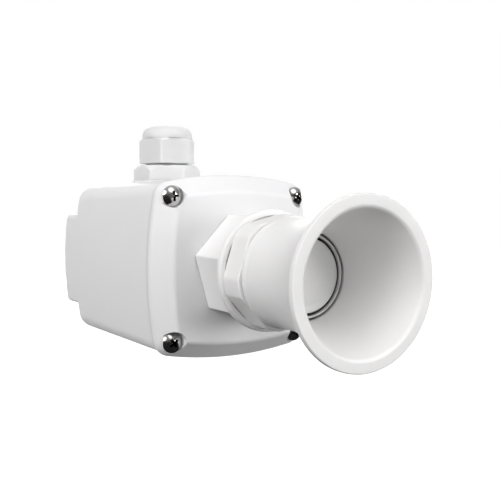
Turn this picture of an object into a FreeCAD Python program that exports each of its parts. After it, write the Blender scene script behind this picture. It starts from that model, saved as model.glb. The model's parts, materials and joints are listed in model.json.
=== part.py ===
import FreeCAD, Part
import math
import os

# Ultrasonic level transmitter: a moulded box with a front lid, a sensor with a horn on the lid
# and a cable gland on the box's top.
# Frame: +Z up, the horn looks along -Y, and the origin is where the sensor's axis meets the flat
# rear face of the mounting block. All sizes are in millimetres.

# Lid, whose outline sets the box's
LID_WIDTH = 77.0
LID_HEIGHT = 77.0
LID_LAND = 1.6
LID_BAND_DEPTH = 7.4
LID_BAND_WIDTH_X = 7.3
LID_BAND_WIDTH_Z = 7.0
LID_PANEL_WIDTH = LID_WIDTH - 2 * LID_BAND_WIDTH_X
LID_PANEL_HEIGHT = LID_HEIGHT - 2 * LID_BAND_WIDTH_Z
LID_PANEL_WALL = 3.0
LID_CORNER_R = 7.0
PANEL_CORNER_R = 4.0
LID_EDGE_R = 2.4
PANEL_EDGE_R = 2.4
TONGUE_WALL = 1.5
TONGUE_DEPTH = 4.0
GASKET_THICK = 1.0
GASKET_INSET = 0.6

# Box, drafted from a front outline just inside the lid's to a smaller rear one
LID_OVERHANG_X = 1.0
LID_OVERHANG_Z = 0.8
BOX_DRAFT_X = 1.2
BOX_DRAFT_Z = 0.8
BOX_FRONT_WIDTH = LID_WIDTH - 2 * LID_OVERHANG_X
BOX_FRONT_HEIGHT = LID_HEIGHT - 2 * LID_OVERHANG_Z
BOX_FRONT_CORNER_R = 6.5
BOX_REAR_WIDTH = BOX_FRONT_WIDTH - 2 * BOX_DRAFT_X
BOX_REAR_HEIGHT = BOX_FRONT_HEIGHT - 2 * BOX_DRAFT_Z
BOX_REAR_CORNER_R = 8.5
BOX_REAR_EDGE_R = 3.0
BOX_DEPTH = 88.5
BOX_WALL = 3.0
FRONT_CENTRE_Z = -0.4
REAR_CENTRE_Z = -1.3
SIDE_ARC_R = 165.0

# Mounting block on the box's rear
BLOCK_INSET_X = 0.7
BLOCK_INSET_Z = 11.8
BLOCK_WIDTH = BOX_REAR_WIDTH - 2 * BLOCK_INSET_X
BLOCK_HEIGHT = BOX_REAR_HEIGHT - 2 * BLOCK_INSET_Z
BLOCK_DEPTH = 14.0
BLOCK_CENTRE_Z = -2.5
BLOCK_CORNER_R = 2.5
BLOCK_EDGE_R = 1.2

# Blind holes for the wall screws
WALL_HOLE_R = 2.1
WALL_HOLE_DEPTH = 10.0
WALL_HOLE_SPACING_X = 48.0
WALL_HOLE_SPACING_Z = 26.0
WALL_BOSS_R = 4.6

# Lid screws and their inserts
SCREW_INSET_X = 7.4
SCREW_INSET_Z = 8.1
SCREW_SPACING_X = BOX_FRONT_WIDTH - 2 * SCREW_INSET_X
SCREW_SPACING_Z = BOX_FRONT_HEIGHT - 2 * SCREW_INSET_Z
SCREW_R = 2.0
SCREW_LENGTH = 15.0
SCREW_HEAD_R = 4.35
SCREW_HEAD_HEIGHT = 2.9
SCREW_POCKET_R = 4.7
SCREW_POCKET_FLOOR = 4.2
SCREW_SLOT_LENGTH = 4.8
SCREW_SLOT_WIDTH = 1.2
SCREW_SLOT_DEPTH = 1.6
HEAD_CROWN_SHARE = 0.55
LID_BOSS_R = 6.6
BOX_BOSS_R = 4.2
BOX_BOSS_LENGTH = 17.0
INSERT_R = 2.7
INSERT_LENGTH = 9.0

# Sensor neck, its seal and its nuts
NECK_R = 16.0
NECK_BORE_R = 11.0
NECK_FLANGE_R = 21.0
NECK_FLANGE_THICK = 4.0
NECK_TIP_CHAMFER = 0.3
NECK_SEAL_THICK = 1.0
CLAMP_NUT_ACROSS = 39.2
CLAMP_NUT_HEX_LENGTH = 21.4
CLAMP_NUT_TURN = 46.4
CLAMP_COLLAR_RISE = 1.6
CLAMP_COLLAR_LENGTH = 2.5
CLAMP_COLLAR_ROUND = 1.0
CLAMP_COLLAR_WALL = 1.7
CLAMP_COLLAR_SINK = 2.0
JAM_NUT_ACROSS = 42.2
JAM_NUT_LENGTH = 12.5
JAM_NUT_TURN = 13.0
JAM_NUT_CORNER_RISE = 1.3
NUT_CHAMFER_ANGLE = 30.0

# Horn
HORN_LENGTH = 46.0
HORN_SOCKET_R = 21.0
HORN_BEAD_R = 21.4
HORN_BEAD_LENGTH = 2.6
HORN_RIM_R = 30.7
HORN_MOUTH_R = 26.4
HORN_THROAT_R = 16.8
HORN_CONE_LENGTH = 33.0
HORN_FLARE_LENGTH = 32.6
HORN_RIM_EDGE = 3.0
HORN_RIM_ROUND = 1.3
HORN_REAR_ROUND = 0.8
HORN_THREAD_LENGTH = 8.0

# Transducer at the neck's tip
TRANSDUCER_R = 14.3
TRANSDUCER_LENGTH = 12.0
TRANSDUCER_CROWN = 0.5
TRANSDUCER_INSET = 0.8
RING_WALL = 0.8
RING_INSET = 0.5
NECK_TIP_INSET = 0.4

# Cable gland and the flat pad that it stands on
GLAND_FROM_REAR = 30.5
PAD_RISE = 0.214
PAD_R = 16.6
PAD_THICK = 5.0
GLAND_THREAD_R = 10.0
GLAND_THREAD_BELOW = 12.0
GLAND_BORE_R = 6.6
GLAND_LOWER_BORE_R = 5.4
GLAND_HEX_ACROSS = 27.8
GLAND_HEX_HEIGHT = 7.3
GLAND_HEX_TURN = 33.0
GLAND_HEX_CHAMFER_ANGLE = 45.0
GLAND_NECK_HEIGHT = 9.0
GLAND_CLAW_HEIGHT = 3.5
GLAND_CLAW_COUNT = 8
GLAND_CLAW_WALL = 1.2
GLAND_CLAW_SLOT = 1.2
GLAND_NUT_GAP = 0.8
GLAND_NUT_ACROSS = 24.0
GLAND_NUT_HEX_HEIGHT = 12.0
GLAND_NUT_HEIGHT = 17.6
GLAND_NUT_TURN = 51.0
GLAND_NUT_WALL = 2.4
GLAND_NUT_DOME_R = 4.4
GLAND_NUT_MOUTH_R = 6.4
GLAND_LOCKNUT_ACROSS = 26.0
GLAND_LOCKNUT_HEIGHT = 5.0
GLAND_SEAL_BORE_R = 4.0
GLAND_SEAL_LENGTH = 9.0
GLAND_WASHER_WIDTH = 2.2
GLAND_WASHER_THICK = 1.0

# Circuit board and what is on it
BOARD_WIDTH = 56.0
BOARD_HEIGHT = 52.0
BOARD_THICK = 1.6
BOARD_STANDOFF = 8.4
BOARD_POST_R = 3.2
BOARD_HOLE_INSET = 4.0
BOARD_HOLE_SPACING_X = BOARD_WIDTH - 2 * BOARD_HOLE_INSET
BOARD_HOLE_SPACING_Z = BOARD_HEIGHT - 2 * BOARD_HOLE_INSET
BOARD_HOLE_R = 1.7
BOARD_SCREW_R = 1.25
BOARD_SCREW_LENGTH = 7.0
BOARD_SCREW_HEAD_R = 2.7
BOARD_SCREW_HEAD_HEIGHT = 2.0
BOARD_SCREW_SLOT_LENGTH = 3.0
BOARD_SCREW_SLOT_WIDTH = 0.8
BOARD_SCREW_SLOT_DEPTH = 1.0
TERMINAL_WAYS = 6
TERMINAL_PITCH = 5.0
TERMINAL_HEIGHT = 11.0
TERMINAL_DEPTH = 12.0
TERMINAL_FROM_TOP = 15.0
TERMINAL_Z = BOARD_HEIGHT / 2 - TERMINAL_FROM_TOP
TERMINAL_ENTRY = 3.0
TERMINAL_SCREW_R = 1.6
TERMINAL_SCREW_LENGTH = 5.0
TERMINAL_SCREW_SUNK = 0.8
TERMINAL_SLOT = 0.6
TRANSFORMER_SIZE = 14.0
TRANSFORMER_HEIGHT = 11.0
TRANSFORMER_WALL = 2.0
TRANSFORMER_X = -14.0
TRANSFORMER_FROM_FOOT = 16.0
TRANSFORMER_Z = TRANSFORMER_FROM_FOOT - BOARD_HEIGHT / 2
CAPACITOR_R = 3.15
CAPACITOR_EDGE_R = 0.5
CAPACITOR_HEIGHT = 11.0
CAPACITOR_COUNT = 3
CAPACITOR_PITCH = 8.0
CAPACITOR_X = 8.0
CAPACITOR_FROM_FOOT = 12.0
CAPACITOR_Z = CAPACITOR_FROM_FOOT - BOARD_HEIGHT / 2
CHIP_SIZE = 10.0
CHIP_HEIGHT = 1.4
CHIP_BEVEL = 0.35
CHIP_X = 13.0
CHIP_Z = 0.0
SOCKET_WIDTH = 8.0
SOCKET_HEIGHT = 6.0
SOCKET_DEPTH = 7.0
SOCKET_FROM_FOOT = 10.0
SOCKET_Z = SOCKET_FROM_FOOT - BOARD_HEIGHT / 2
LEAD_R = 1.5
LEAD_PLUG_LENGTH = 6.0
LEAD_END_RUN = 20.0
LEAD_BEND_R = 30.0
LEAD_BEND_ANGLE = 30.0

# Clearances
THREAD_CLEARANCE = 0.1
RUNNING_CLEARANCE = 0.06
HOLE_CLEARANCE = 0.3
TONGUE_CLEARANCE = 0.3
RUBBER_CLEARANCE = 0.05
PRESS_CLEARANCE = 0.02

# Stations along Y, from the rear face to the front
Y_BOX_REAR = -BLOCK_DEPTH
Y_BOX_FRONT = Y_BOX_REAR - BOX_DEPTH
Y_LID_REAR = Y_BOX_FRONT - GASKET_THICK
Y_BAND = Y_LID_REAR - LID_LAND
Y_PANEL = Y_BAND - LID_BAND_DEPTH
Y_PANEL_INSIDE = Y_PANEL + LID_PANEL_WALL
Y_SCREW_SEAT = Y_LID_REAR - SCREW_POCKET_FLOOR
Y_FLANGE_FRONT = Y_PANEL_INSIDE + NECK_SEAL_THICK
Y_FLANGE_REAR = Y_FLANGE_FRONT + NECK_FLANGE_THICK
Y_CLAMP_COLLAR = Y_PANEL - CLAMP_NUT_HEX_LENGTH
Y_CLAMP_FRONT = Y_CLAMP_COLLAR - CLAMP_COLLAR_LENGTH
Y_JAM_REAR = Y_CLAMP_FRONT + CLAMP_COLLAR_SINK
Y_JAM_FRONT = Y_JAM_REAR - JAM_NUT_LENGTH
Y_HORN_REAR = Y_JAM_FRONT
Y_HORN_RIM = Y_HORN_REAR - HORN_LENGTH
Y_THROAT = Y_HORN_RIM + HORN_CONE_LENGTH
Y_NECK_TIP = Y_THROAT + NECK_TIP_INSET
Y_BOX_FLOOR = Y_BOX_REAR - BOX_WALL
Y_BOARD_BACK = Y_BOX_FLOOR - BOARD_STANDOFF
Y_BOARD_FRONT = Y_BOARD_BACK - BOARD_THICK
GLAND_Y = Y_BOX_REAR - GLAND_FROM_REAR

# Stations along Z, from the sloped roof's height at the gland up through the gland
Z_ROOF_REAR = REAR_CENTRE_Z + BOX_REAR_HEIGHT / 2
Z_ROOF_FRONT = FRONT_CENTRE_Z + BOX_FRONT_HEIGHT / 2
Z_ROOF_AT_GLAND = Z_ROOF_REAR + (Z_ROOF_FRONT - Z_ROOF_REAR) * GLAND_FROM_REAR / BOX_DEPTH
PAD_TOP_Z = Z_ROOF_AT_GLAND + PAD_RISE
Z_PAD_UNDER = PAD_TOP_Z - PAD_THICK
Z_GLAND_HEX = PAD_TOP_Z + GLAND_HEX_HEIGHT
Z_GLAND_NECK = Z_GLAND_HEX + GLAND_NECK_HEIGHT
Z_GLAND_CLAW = Z_GLAND_NECK + GLAND_CLAW_HEIGHT
Z_GLAND_SEAL = Z_GLAND_CLAW - GLAND_SEAL_LENGTH
Z_GLAND_NUT = Z_GLAND_HEX + GLAND_NUT_GAP
Z_GLAND_NUT_SHOULDER = Z_GLAND_NUT + GLAND_NUT_HEX_HEIGHT
Z_GLAND_NUT_TOP = Z_GLAND_NUT + GLAND_NUT_HEIGHT

OVERCUT = 1.0
SAME_PLACE = 1e-5
ALONG_Y = FreeCAD.Vector(0, 1, 0)
ALONG_Z = FreeCAD.Vector(0, 0, 1)


def vec(x, y, z):
    """A point or direction."""
    return FreeCAD.Vector(x, y, z)


def block(size_x, y_near, y_far, size_z, x=0.0, z=0.0):
    """A plain box centred on x and z, between two stations along Y."""
    low = min(y_near, y_far)
    return Part.makeBox(size_x, abs(y_far - y_near), size_z, vec(x - size_x / 2, low, z - size_z / 2))


def rod_y(radius, y_near, y_far, x=0.0, z=0.0):
    """A cylinder along Y between two stations."""
    return Part.makeCylinder(radius, abs(y_far - y_near), vec(x, min(y_near, y_far), z), ALONG_Y)


def rod_z(radius, z_low, z_high, x=0.0, y=0.0):
    """A cylinder along Z between two heights."""
    return Part.makeCylinder(radius, z_high - z_low, vec(x, y, z_low), ALONG_Z)


def tube_y(outer, inner, y_near, y_far):
    """A plain tube on the sensor's axis."""
    return rod_y(outer, y_near, y_far).cut(rod_y(inner, y_near, y_far))


def tube_z(outer, inner, z_low, z_high):
    """A plain tube on the gland's axis, before it is moved there."""
    return rod_z(outer, z_low, z_high).cut(rod_z(inner, z_low, z_high))


def on_gland(shape):
    """Moves a shape built about the Z axis to the gland's place on the box."""
    return shape.translated(vec(0, GLAND_Y, 0))


def fused(shapes):
    """One solid from several, with the seams between them removed."""
    return shapes[0].multiFuse(shapes[1:]).removeSplitter()


def grid(spacing_x, spacing_z, centre_z=0.0):
    """The four corners of a rectangle in the XZ plane."""
    return [(sx * spacing_x / 2, centre_z + sz * spacing_z / 2) for sx in (-1, 1) for sz in (-1, 1)]


def edges_where(shape, test):
    """The edges whose two ends and middle all pass a test."""
    found = []
    for edge in shape.Edges:
        middle = edge.valueAt((edge.FirstParameter + edge.LastParameter) / 2)
        points = [vertex.Point for vertex in edge.Vertexes] + [middle]
        if all(test(point) for point in points):
            found.append(edge)
    return found


def edges_at_y(shape, y):
    """The edges that lie in the plane at y."""
    return edges_where(shape, lambda p: abs(p.y - y) < SAME_PLACE)


def rounded_prism(width, height, radius, y_near, y_far):
    """A box with its four long edges rounded, along Y between two stations."""
    solid = block(width, y_near, y_far, height)
    long_edges = [e for e in solid.Edges if abs(e.Vertexes[0].Y - e.Vertexes[1].Y) > SAME_PLACE]
    return solid.makeFillet(radius, long_edges)


def polygon_prism(across, turn, low, high):
    """A hexagonal prism along Z with one corner turned from +X by an angle in degrees."""
    corner_r = corner_radius(across)
    angles = [math.radians(turn + 60 * step) for step in range(7)]
    points = [vec(corner_r * math.cos(a), corner_r * math.sin(a), low) for a in angles]
    return Part.Face(Part.makePolygon(points)).extrude(vec(0, 0, high - low))


def revolved_z(points):
    """A solid of revolution about Z from (radius, height) points joined by straight lines."""
    corners = [vec(r, 0, z) for r, z in points]
    face = Part.Face(Part.makePolygon(corners + corners[:1]))
    return face.revolve(vec(0, 0, 0), ALONG_Z, 360)


def turned_blank(flat_r, outer_r, low, high, angle, low_end, high_end):
    """The turned shape that cuts down a nut's corners: a cylinder with a cone at one or both ends."""
    drop = (outer_r - flat_r) * math.tan(math.radians(angle))
    profile = [(0, low)]
    profile += [(flat_r, low), (outer_r, low + drop)] if low_end else [(outer_r, low)]
    profile += [(outer_r, high - drop), (flat_r, high)] if high_end else [(outer_r, high)]
    profile += [(0, high)]
    return revolved_z(profile)


def corner_radius(across):
    """The distance from a hexagon's middle to its corners."""
    return across / 2 / math.cos(math.pi / 6)


def facing_front(shape):
    """Turns a shape built up along +Z so that it points along -Y, its X kept."""
    turned = shape.copy()
    turned.rotate(vec(0, 0, 0), vec(1, 0, 0), 90)
    return turned


def crossing(centre_a, radius_a, centre_b, radius_b):
    """The crossing of two circles in the XZ plane that lies furthest out."""
    (ax, az), (bx, bz) = centre_a, centre_b
    gap = math.hypot(bx - ax, bz - az)
    along = (radius_a ** 2 - radius_b ** 2 + gap ** 2) / (2 * gap)
    off = math.sqrt(radius_a ** 2 - along ** 2)
    ux, uz = (bx - ax) / gap, (bz - az) / gap
    found = [(ax + along * ux - s * off * uz, az + along * uz + s * off * ux) for s in (-1, 1)]
    return max(found, key=lambda p: p[0] + p[1])


def pillow_wire(width, height, corner_r, y, centre_z=0.0):
    """A closed outline at one station: four sides bowed out to one radius, joined by round corners."""
    half_x, half_z = width / 2, height / 2
    side_centre = (half_x - SIDE_ARC_R, 0.0)
    top_centre = (0.0, half_z - SIDE_ARC_R)
    reach = SIDE_ARC_R - corner_r
    cx, cz = crossing(side_centre, reach, top_centre, reach)

    def touch(centre):
        scale = SIDE_ARC_R / reach
        return centre[0] + (cx - centre[0]) * scale, centre[1] + (cz - centre[1]) * scale

    side, top = touch(side_centre), touch(top_centre)
    away = math.hypot(side[0] + top[0] - 2 * cx, side[1] + top[1] - 2 * cz)
    tip = (cx + (side[0] + top[0] - 2 * cx) / away * corner_r,
           cz + (side[1] + top[1] - 2 * cz) / away * corner_r)

    def at(point, sx, sz):
        return vec(sx * point[0], y, centre_z + sz * point[1])

    arcs = []
    for sx, sz in ((1, 1), (-1, 1), (-1, -1), (1, -1)):
        corner = [at(side, sx, sz), at(tip, sx, sz), at(top, sx, sz)]
        if sx * sz < 0:
            corner.reverse()
        arcs.append(Part.Arc(*corner).toShape())
        if sz * sx > 0:
            bow = [at(top, sx, sz), at((0.0, half_z), sx, sz), at(top, -sx, sz)]
        else:
            bow = [at(side, sx, sz), at((half_x, 0.0), sx, sz), at(side, sx, -sz)]
        arcs.append(Part.Arc(*bow).toShape())
    return Part.Wire(arcs)


def pillow_prism(width, height, corner_r, y_near, y_far, centre_z=0.0):
    """A solid of the bowed outline between two stations."""
    wire = pillow_wire(width, height, corner_r, y_near, centre_z)
    return Part.Face(wire).extrude(vec(0, y_far - y_near, 0))


def box_front_prism(inset, y_near, y_far):
    """A solid of the box's front outline, drawn in by an inset, between two stations."""
    return pillow_prism(BOX_FRONT_WIDTH - 2 * inset, BOX_FRONT_HEIGHT - 2 * inset, BOX_FRONT_CORNER_R - inset,
                        y_near, y_far, FRONT_CENTRE_Z)


def drafted_box(inset, y_rear):
    """The box's drafted body, drawn in by an inset, from a rear station to the front."""
    rear = pillow_wire(BOX_REAR_WIDTH - 2 * inset, BOX_REAR_HEIGHT - 2 * inset, BOX_REAR_CORNER_R - inset,
                       y_rear, REAR_CENTRE_Z)
    front = pillow_wire(BOX_FRONT_WIDTH - 2 * inset, BOX_FRONT_HEIGHT - 2 * inset, BOX_FRONT_CORNER_R - inset,
                        Y_BOX_FRONT, FRONT_CENTRE_Z)
    return Part.makeLoft([rear, front], True, True)


SCREW_PLACES = grid(SCREW_SPACING_X, SCREW_SPACING_Z, FRONT_CENTRE_Z)
BOARD_PLACES = grid(BOARD_HOLE_SPACING_X, BOARD_HOLE_SPACING_Z)
WALL_PLACES = grid(WALL_HOLE_SPACING_X, WALL_HOLE_SPACING_Z, BLOCK_CENTRE_Z)


def make_housing():
    """The box, its mounting block and its gland pad, moulded in one, hollow and open at the front."""
    box = drafted_box(0.0, Y_BOX_REAR)
    box = box.makeFillet(BOX_REAR_EDGE_R, edges_at_y(box, Y_BOX_REAR))
    foot = pillow_prism(BLOCK_WIDTH, BLOCK_HEIGHT, BLOCK_CORNER_R, 0.0, Y_BOX_FLOOR, BLOCK_CENTRE_Z)
    foot = foot.makeFillet(BLOCK_EDGE_R, edges_at_y(foot, 0.0))
    outside = fused([box, foot])
    foot_room = pillow_prism(BLOCK_WIDTH - 2 * BOX_WALL, BLOCK_HEIGHT - 2 * BOX_WALL, BLOCK_CORNER_R,
                             -BOX_WALL, Y_BOX_FLOOR - OVERCUT, BLOCK_CENTRE_Z)
    shell = outside.cut(drafted_box(BOX_WALL, Y_BOX_FLOOR)).cut(foot_room)
    posts = [rod_y(WALL_BOSS_R, -BOX_WALL / 2, -WALL_HOLE_DEPTH - BOX_WALL, x, z) for x, z in WALL_PLACES]
    posts += [rod_y(BOARD_POST_R, -BOX_WALL / 2, Y_BOARD_BACK, x, z) for x, z in BOARD_PLACES]
    posts += [rod_y(BOX_BOSS_R, Y_BOX_FRONT + BOX_BOSS_LENGTH, Y_BOX_FRONT, x, z) for x, z in SCREW_PLACES]
    pad = on_gland(rod_z(PAD_R, Z_PAD_UNDER, PAD_TOP_Z))
    shell = fused([shell, pad] + [post.common(outside) for post in posts])
    holes = [rod_y(WALL_HOLE_R, OVERCUT, -WALL_HOLE_DEPTH, x, z) for x, z in WALL_PLACES]
    insert_end = Y_BOX_FRONT + INSERT_LENGTH
    holes += [rod_y(INSERT_R, Y_BOX_FRONT - OVERCUT, insert_end, x, z) for x, z in SCREW_PLACES]
    screw_end = Y_SCREW_SEAT + SCREW_LENGTH + OVERCUT
    holes += [rod_y(SCREW_R + HOLE_CLEARANCE, insert_end, screw_end, x, z) for x, z in SCREW_PLACES]
    pilot_r = BOARD_SCREW_R + THREAD_CLEARANCE
    pilot_end = Y_BOARD_BACK + BOARD_SCREW_LENGTH
    holes += [rod_y(pilot_r, Y_BOARD_BACK - OVERCUT, pilot_end, x, z) for x, z in BOARD_PLACES]
    holes.append(on_gland(rod_z(GLAND_THREAD_R + HOLE_CLEARANCE, Z_PAD_UNDER - OVERCUT, PAD_TOP_Z + OVERCUT)))
    holes.append(on_gland(rod_z(PAD_R, PAD_TOP_Z, PAD_TOP_Z + PAD_THICK)))
    return shell.cut(Part.makeCompound(holes))


def make_lid():
    """The front lid: a flat panel, sloped bands, a bowed outline, screw pockets and a tongue inside."""
    land = pillow_prism(LID_WIDTH, LID_HEIGHT, LID_CORNER_R, Y_LID_REAR, Y_BAND, FRONT_CENTRE_Z)
    outer = pillow_wire(LID_WIDTH, LID_HEIGHT, LID_CORNER_R, Y_BAND, FRONT_CENTRE_Z)
    inner = pillow_wire(LID_PANEL_WIDTH, LID_PANEL_HEIGHT, PANEL_CORNER_R, Y_PANEL, FRONT_CENTRE_Z)
    lid = fused([land, Part.makeLoft([outer, inner], True, True)])
    lid = lid.makeFillet(LID_EDGE_R, edges_at_y(lid, Y_BAND))
    lid = lid.makeFillet(PANEL_EDGE_R, edges_at_y(lid, Y_PANEL))
    tongue_outer = BOX_WALL + TONGUE_CLEARANCE
    tongue_inner = tongue_outer + TONGUE_WALL
    tongue_end = Y_LID_REAR + TONGUE_DEPTH
    room = box_front_prism(tongue_inner, Y_LID_REAR + OVERCUT, Y_PANEL_INSIDE)
    bosses = [rod_y(LID_BOSS_R, Y_LID_REAR + OVERCUT, Y_PANEL_INSIDE, x, z) for x, z in SCREW_PLACES]
    lid = lid.cut(room.cut(Part.makeCompound(bosses)))
    tongue = box_front_prism(tongue_outer, tongue_end, Y_LID_REAR).cut(
        box_front_prism(tongue_inner, tongue_end, Y_LID_REAR))
    notches = [rod_y(BOX_BOSS_R + TONGUE_CLEARANCE, Y_LID_REAR, tongue_end, x, z) for x, z in SCREW_PLACES]
    lid = fused([lid, tongue.cut(Part.makeCompound(notches))])
    holes = [rod_y(SCREW_POCKET_R, Y_SCREW_SEAT, Y_PANEL - OVERCUT, x, z) for x, z in SCREW_PLACES]
    shank_r = SCREW_R + HOLE_CLEARANCE
    holes += [rod_y(shank_r, Y_LID_REAR + OVERCUT, Y_SCREW_SEAT - OVERCUT, x, z) for x, z in SCREW_PLACES]
    holes.append(rod_y(NECK_R + HOLE_CLEARANCE, Y_PANEL_INSIDE + OVERCUT, Y_PANEL - OVERCUT))
    return lid.cut(Part.makeCompound(holes))


def make_lid_gasket():
    """A flat rubber frame between the box's rim and the lid, with an eye round each screw."""
    frame = box_front_prism(GASKET_INSET, Y_BOX_FRONT, Y_LID_REAR)
    frame = frame.cut(box_front_prism(BOX_WALL, Y_BOX_FRONT, Y_LID_REAR))
    eyes = [rod_y(BOX_BOSS_R, Y_BOX_FRONT, Y_LID_REAR, x, z) for x, z in SCREW_PLACES]
    rim = box_front_prism(0.0, Y_BOX_FRONT, Y_LID_REAR)
    holes = [rod_y(SCREW_R + HOLE_CLEARANCE, Y_BOX_FRONT, Y_LID_REAR, x, z) for x, z in SCREW_PLACES]
    return fused([frame] + [eye.common(rim) for eye in eyes]).cut(Part.makeCompound(holes))


def make_pan_screw(shank_r, length, head_r, head_height, slot):
    """A pan-head screw with a cross recess, its seat at the origin and its head towards -Y."""
    rise = head_height * HEAD_CROWN_SHARE
    crown_r = (head_r ** 2 + rise ** 2) / (2 * rise)
    head = rod_y(head_r, 0, -head_height)
    head = head.common(Part.makeSphere(crown_r, vec(0, crown_r - head_height, 0)))
    slot_length, slot_width, slot_depth = slot
    bars = [block(slot_length, -head_height - OVERCUT, slot_depth - head_height, slot_width),
            block(slot_width, -head_height - OVERCUT, slot_depth - head_height, slot_length)]
    head = head.cut(Part.makeCompound(bars))
    return fused([head, rod_y(shank_r, 0, length)])


def make_lid_screws():
    """Four screws that hold the lid."""
    slot = (SCREW_SLOT_LENGTH, SCREW_SLOT_WIDTH, SCREW_SLOT_DEPTH)
    screw = make_pan_screw(SCREW_R, SCREW_LENGTH, SCREW_HEAD_R, SCREW_HEAD_HEIGHT, slot)
    return Part.makeCompound([screw.translated(vec(x, Y_SCREW_SEAT, z)) for x, z in SCREW_PLACES])


def make_lid_inserts():
    """Four brass inserts in the box's corner posts."""
    outer = INSERT_R - PRESS_CLEARANCE
    insert = tube_y(outer, SCREW_R + THREAD_CLEARANCE, Y_BOX_FRONT, Y_BOX_FRONT + INSERT_LENGTH)
    return Part.makeCompound([insert.translated(vec(x, 0, z)) for x, z in SCREW_PLACES])


def make_sensor_neck():
    """The threaded tube that carries the transducer, with a flange behind the lid."""
    neck = rod_y(NECK_R, Y_FLANGE_REAR, Y_NECK_TIP)
    neck = neck.makeChamfer(NECK_TIP_CHAMFER, edges_at_y(neck, Y_NECK_TIP))
    neck = fused([neck, rod_y(NECK_FLANGE_R, Y_FLANGE_REAR, Y_FLANGE_FRONT)])
    cup_r = TRANSDUCER_R + RING_WALL + 2 * RUBBER_CLEARANCE
    bore = rod_y(NECK_BORE_R, Y_FLANGE_REAR + OVERCUT, Y_NECK_TIP - OVERCUT)
    cup = rod_y(cup_r, Y_NECK_TIP + TRANSDUCER_INSET + TRANSDUCER_LENGTH, Y_NECK_TIP - OVERCUT)
    return neck.cut(Part.makeCompound([bore, cup]))


def make_neck_seal():
    """A flat rubber ring between the neck's flange and the lid."""
    return tube_y(NECK_FLANGE_R, NECK_R + RUBBER_CLEARANCE, Y_FLANGE_FRONT, Y_PANEL_INSIDE)


def make_clamp_nut():
    """The long hexagonal nut that clamps the neck to the lid, with a hollow round collar at its front."""
    low, collar_low, high = -Y_PANEL, -Y_CLAMP_COLLAR, -Y_CLAMP_FRONT
    collar_r = corner_radius(CLAMP_NUT_ACROSS) + CLAMP_COLLAR_RISE
    collar = rod_z(collar_r, collar_low, high)
    front_edge = edges_where(collar, lambda p: abs(p.z - high) < SAME_PLACE)
    collar = collar.makeFillet(CLAMP_COLLAR_ROUND, front_edge)
    nut = fused([polygon_prism(CLAMP_NUT_ACROSS, CLAMP_NUT_TURN, low, collar_low), collar])
    nut = nut.cut(rod_z(collar_r - CLAMP_COLLAR_WALL, -Y_JAM_REAR, high))
    return facing_front(nut.cut(rod_z(NECK_R + THREAD_CLEARANCE, low, high)))


def make_jam_nut():
    """The second hexagonal nut, which locks the horn on the neck: its turned corners stand in the collar."""
    low, high = -Y_JAM_REAR, -Y_JAM_FRONT
    flat_r = JAM_NUT_ACROSS / 2
    blank = turned_blank(flat_r, flat_r + JAM_NUT_CORNER_RISE, low, high, NUT_CHAMFER_ANGLE, True, True)
    nut = polygon_prism(JAM_NUT_ACROSS, JAM_NUT_TURN, low, high).common(blank)
    return facing_front(nut.cut(rod_z(NECK_R + THREAD_CLEARANCE, low, high)))


def make_horn():
    """The horn: a socket on the neck, a flared bell with a thick soft rim and a straight cone inside."""
    rear, rim = -Y_HORN_REAR, -Y_HORN_RIM
    throat = -Y_THROAT
    rim_back = rim - HORN_RIM_EDGE
    flare_start = rim_back - HORN_FLARE_LENGTH
    thread_r = NECK_R + THREAD_CLEARANCE
    thread_end = rear + HORN_THREAD_LENGTH

    def at(radius, along):
        return vec(radius, 0, along)

    def line(a, b):
        return Part.LineSegment(a, b).toShape()

    flare = Part.BezierCurve()
    flare.setPoles([at(HORN_SOCKET_R, flare_start), at(HORN_SOCKET_R, flare_start + HORN_FLARE_LENGTH / 2),
                    at(HORN_RIM_R, rim_back)])
    edges = [
        line(at(thread_r, rear), at(HORN_BEAD_R, rear)),
        line(at(HORN_BEAD_R, rear), at(HORN_BEAD_R, rear + HORN_BEAD_LENGTH)),
        line(at(HORN_BEAD_R, rear + HORN_BEAD_LENGTH), at(HORN_SOCKET_R, rear + HORN_BEAD_LENGTH)),
        line(at(HORN_SOCKET_R, rear + HORN_BEAD_LENGTH), at(HORN_SOCKET_R, flare_start)),
        flare.toShape(),
        line(at(HORN_RIM_R, rim_back), at(HORN_RIM_R, rim)),
        line(at(HORN_RIM_R, rim), at(HORN_MOUTH_R, rim)),
        line(at(HORN_MOUTH_R, rim), at(HORN_THROAT_R, throat)),
        line(at(HORN_THROAT_R, throat), at(HORN_THROAT_R, thread_end)),
        line(at(HORN_THROAT_R, thread_end), at(thread_r, thread_end)),
        line(at(thread_r, thread_end), at(thread_r, rear)),
    ]
    horn = Part.Face(Part.Wire(edges)).revolve(vec(0, 0, 0), ALONG_Z, 360)
    horn = facing_front(horn)
    horn = horn.makeFillet(HORN_RIM_ROUND, edges_at_y(horn, Y_HORN_RIM))
    outer_rear = [e for e in edges_at_y(horn, Y_HORN_REAR) if e.Curve.Radius > HORN_SOCKET_R]
    return horn.makeFillet(HORN_REAR_ROUND, outer_rear)


def make_transducer():
    """The sealed transducer puck with a faintly crowned face."""
    front = Y_NECK_TIP + TRANSDUCER_INSET
    puck = rod_y(TRANSDUCER_R, front + TRANSDUCER_LENGTH, front - TRANSDUCER_CROWN)
    crown_r = (TRANSDUCER_R ** 2 + TRANSDUCER_CROWN ** 2) / (2 * TRANSDUCER_CROWN)
    return puck.common(Part.makeSphere(crown_r, vec(0, front - TRANSDUCER_CROWN + crown_r, 0)))


def make_isolation_ring():
    """The dark rubber ring between the transducer and the neck."""
    inner = TRANSDUCER_R + RUBBER_CLEARANCE
    front = Y_NECK_TIP + TRANSDUCER_INSET
    return tube_y(inner + RING_WALL, inner, front + TRANSDUCER_LENGTH, front + RING_INSET)


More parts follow.
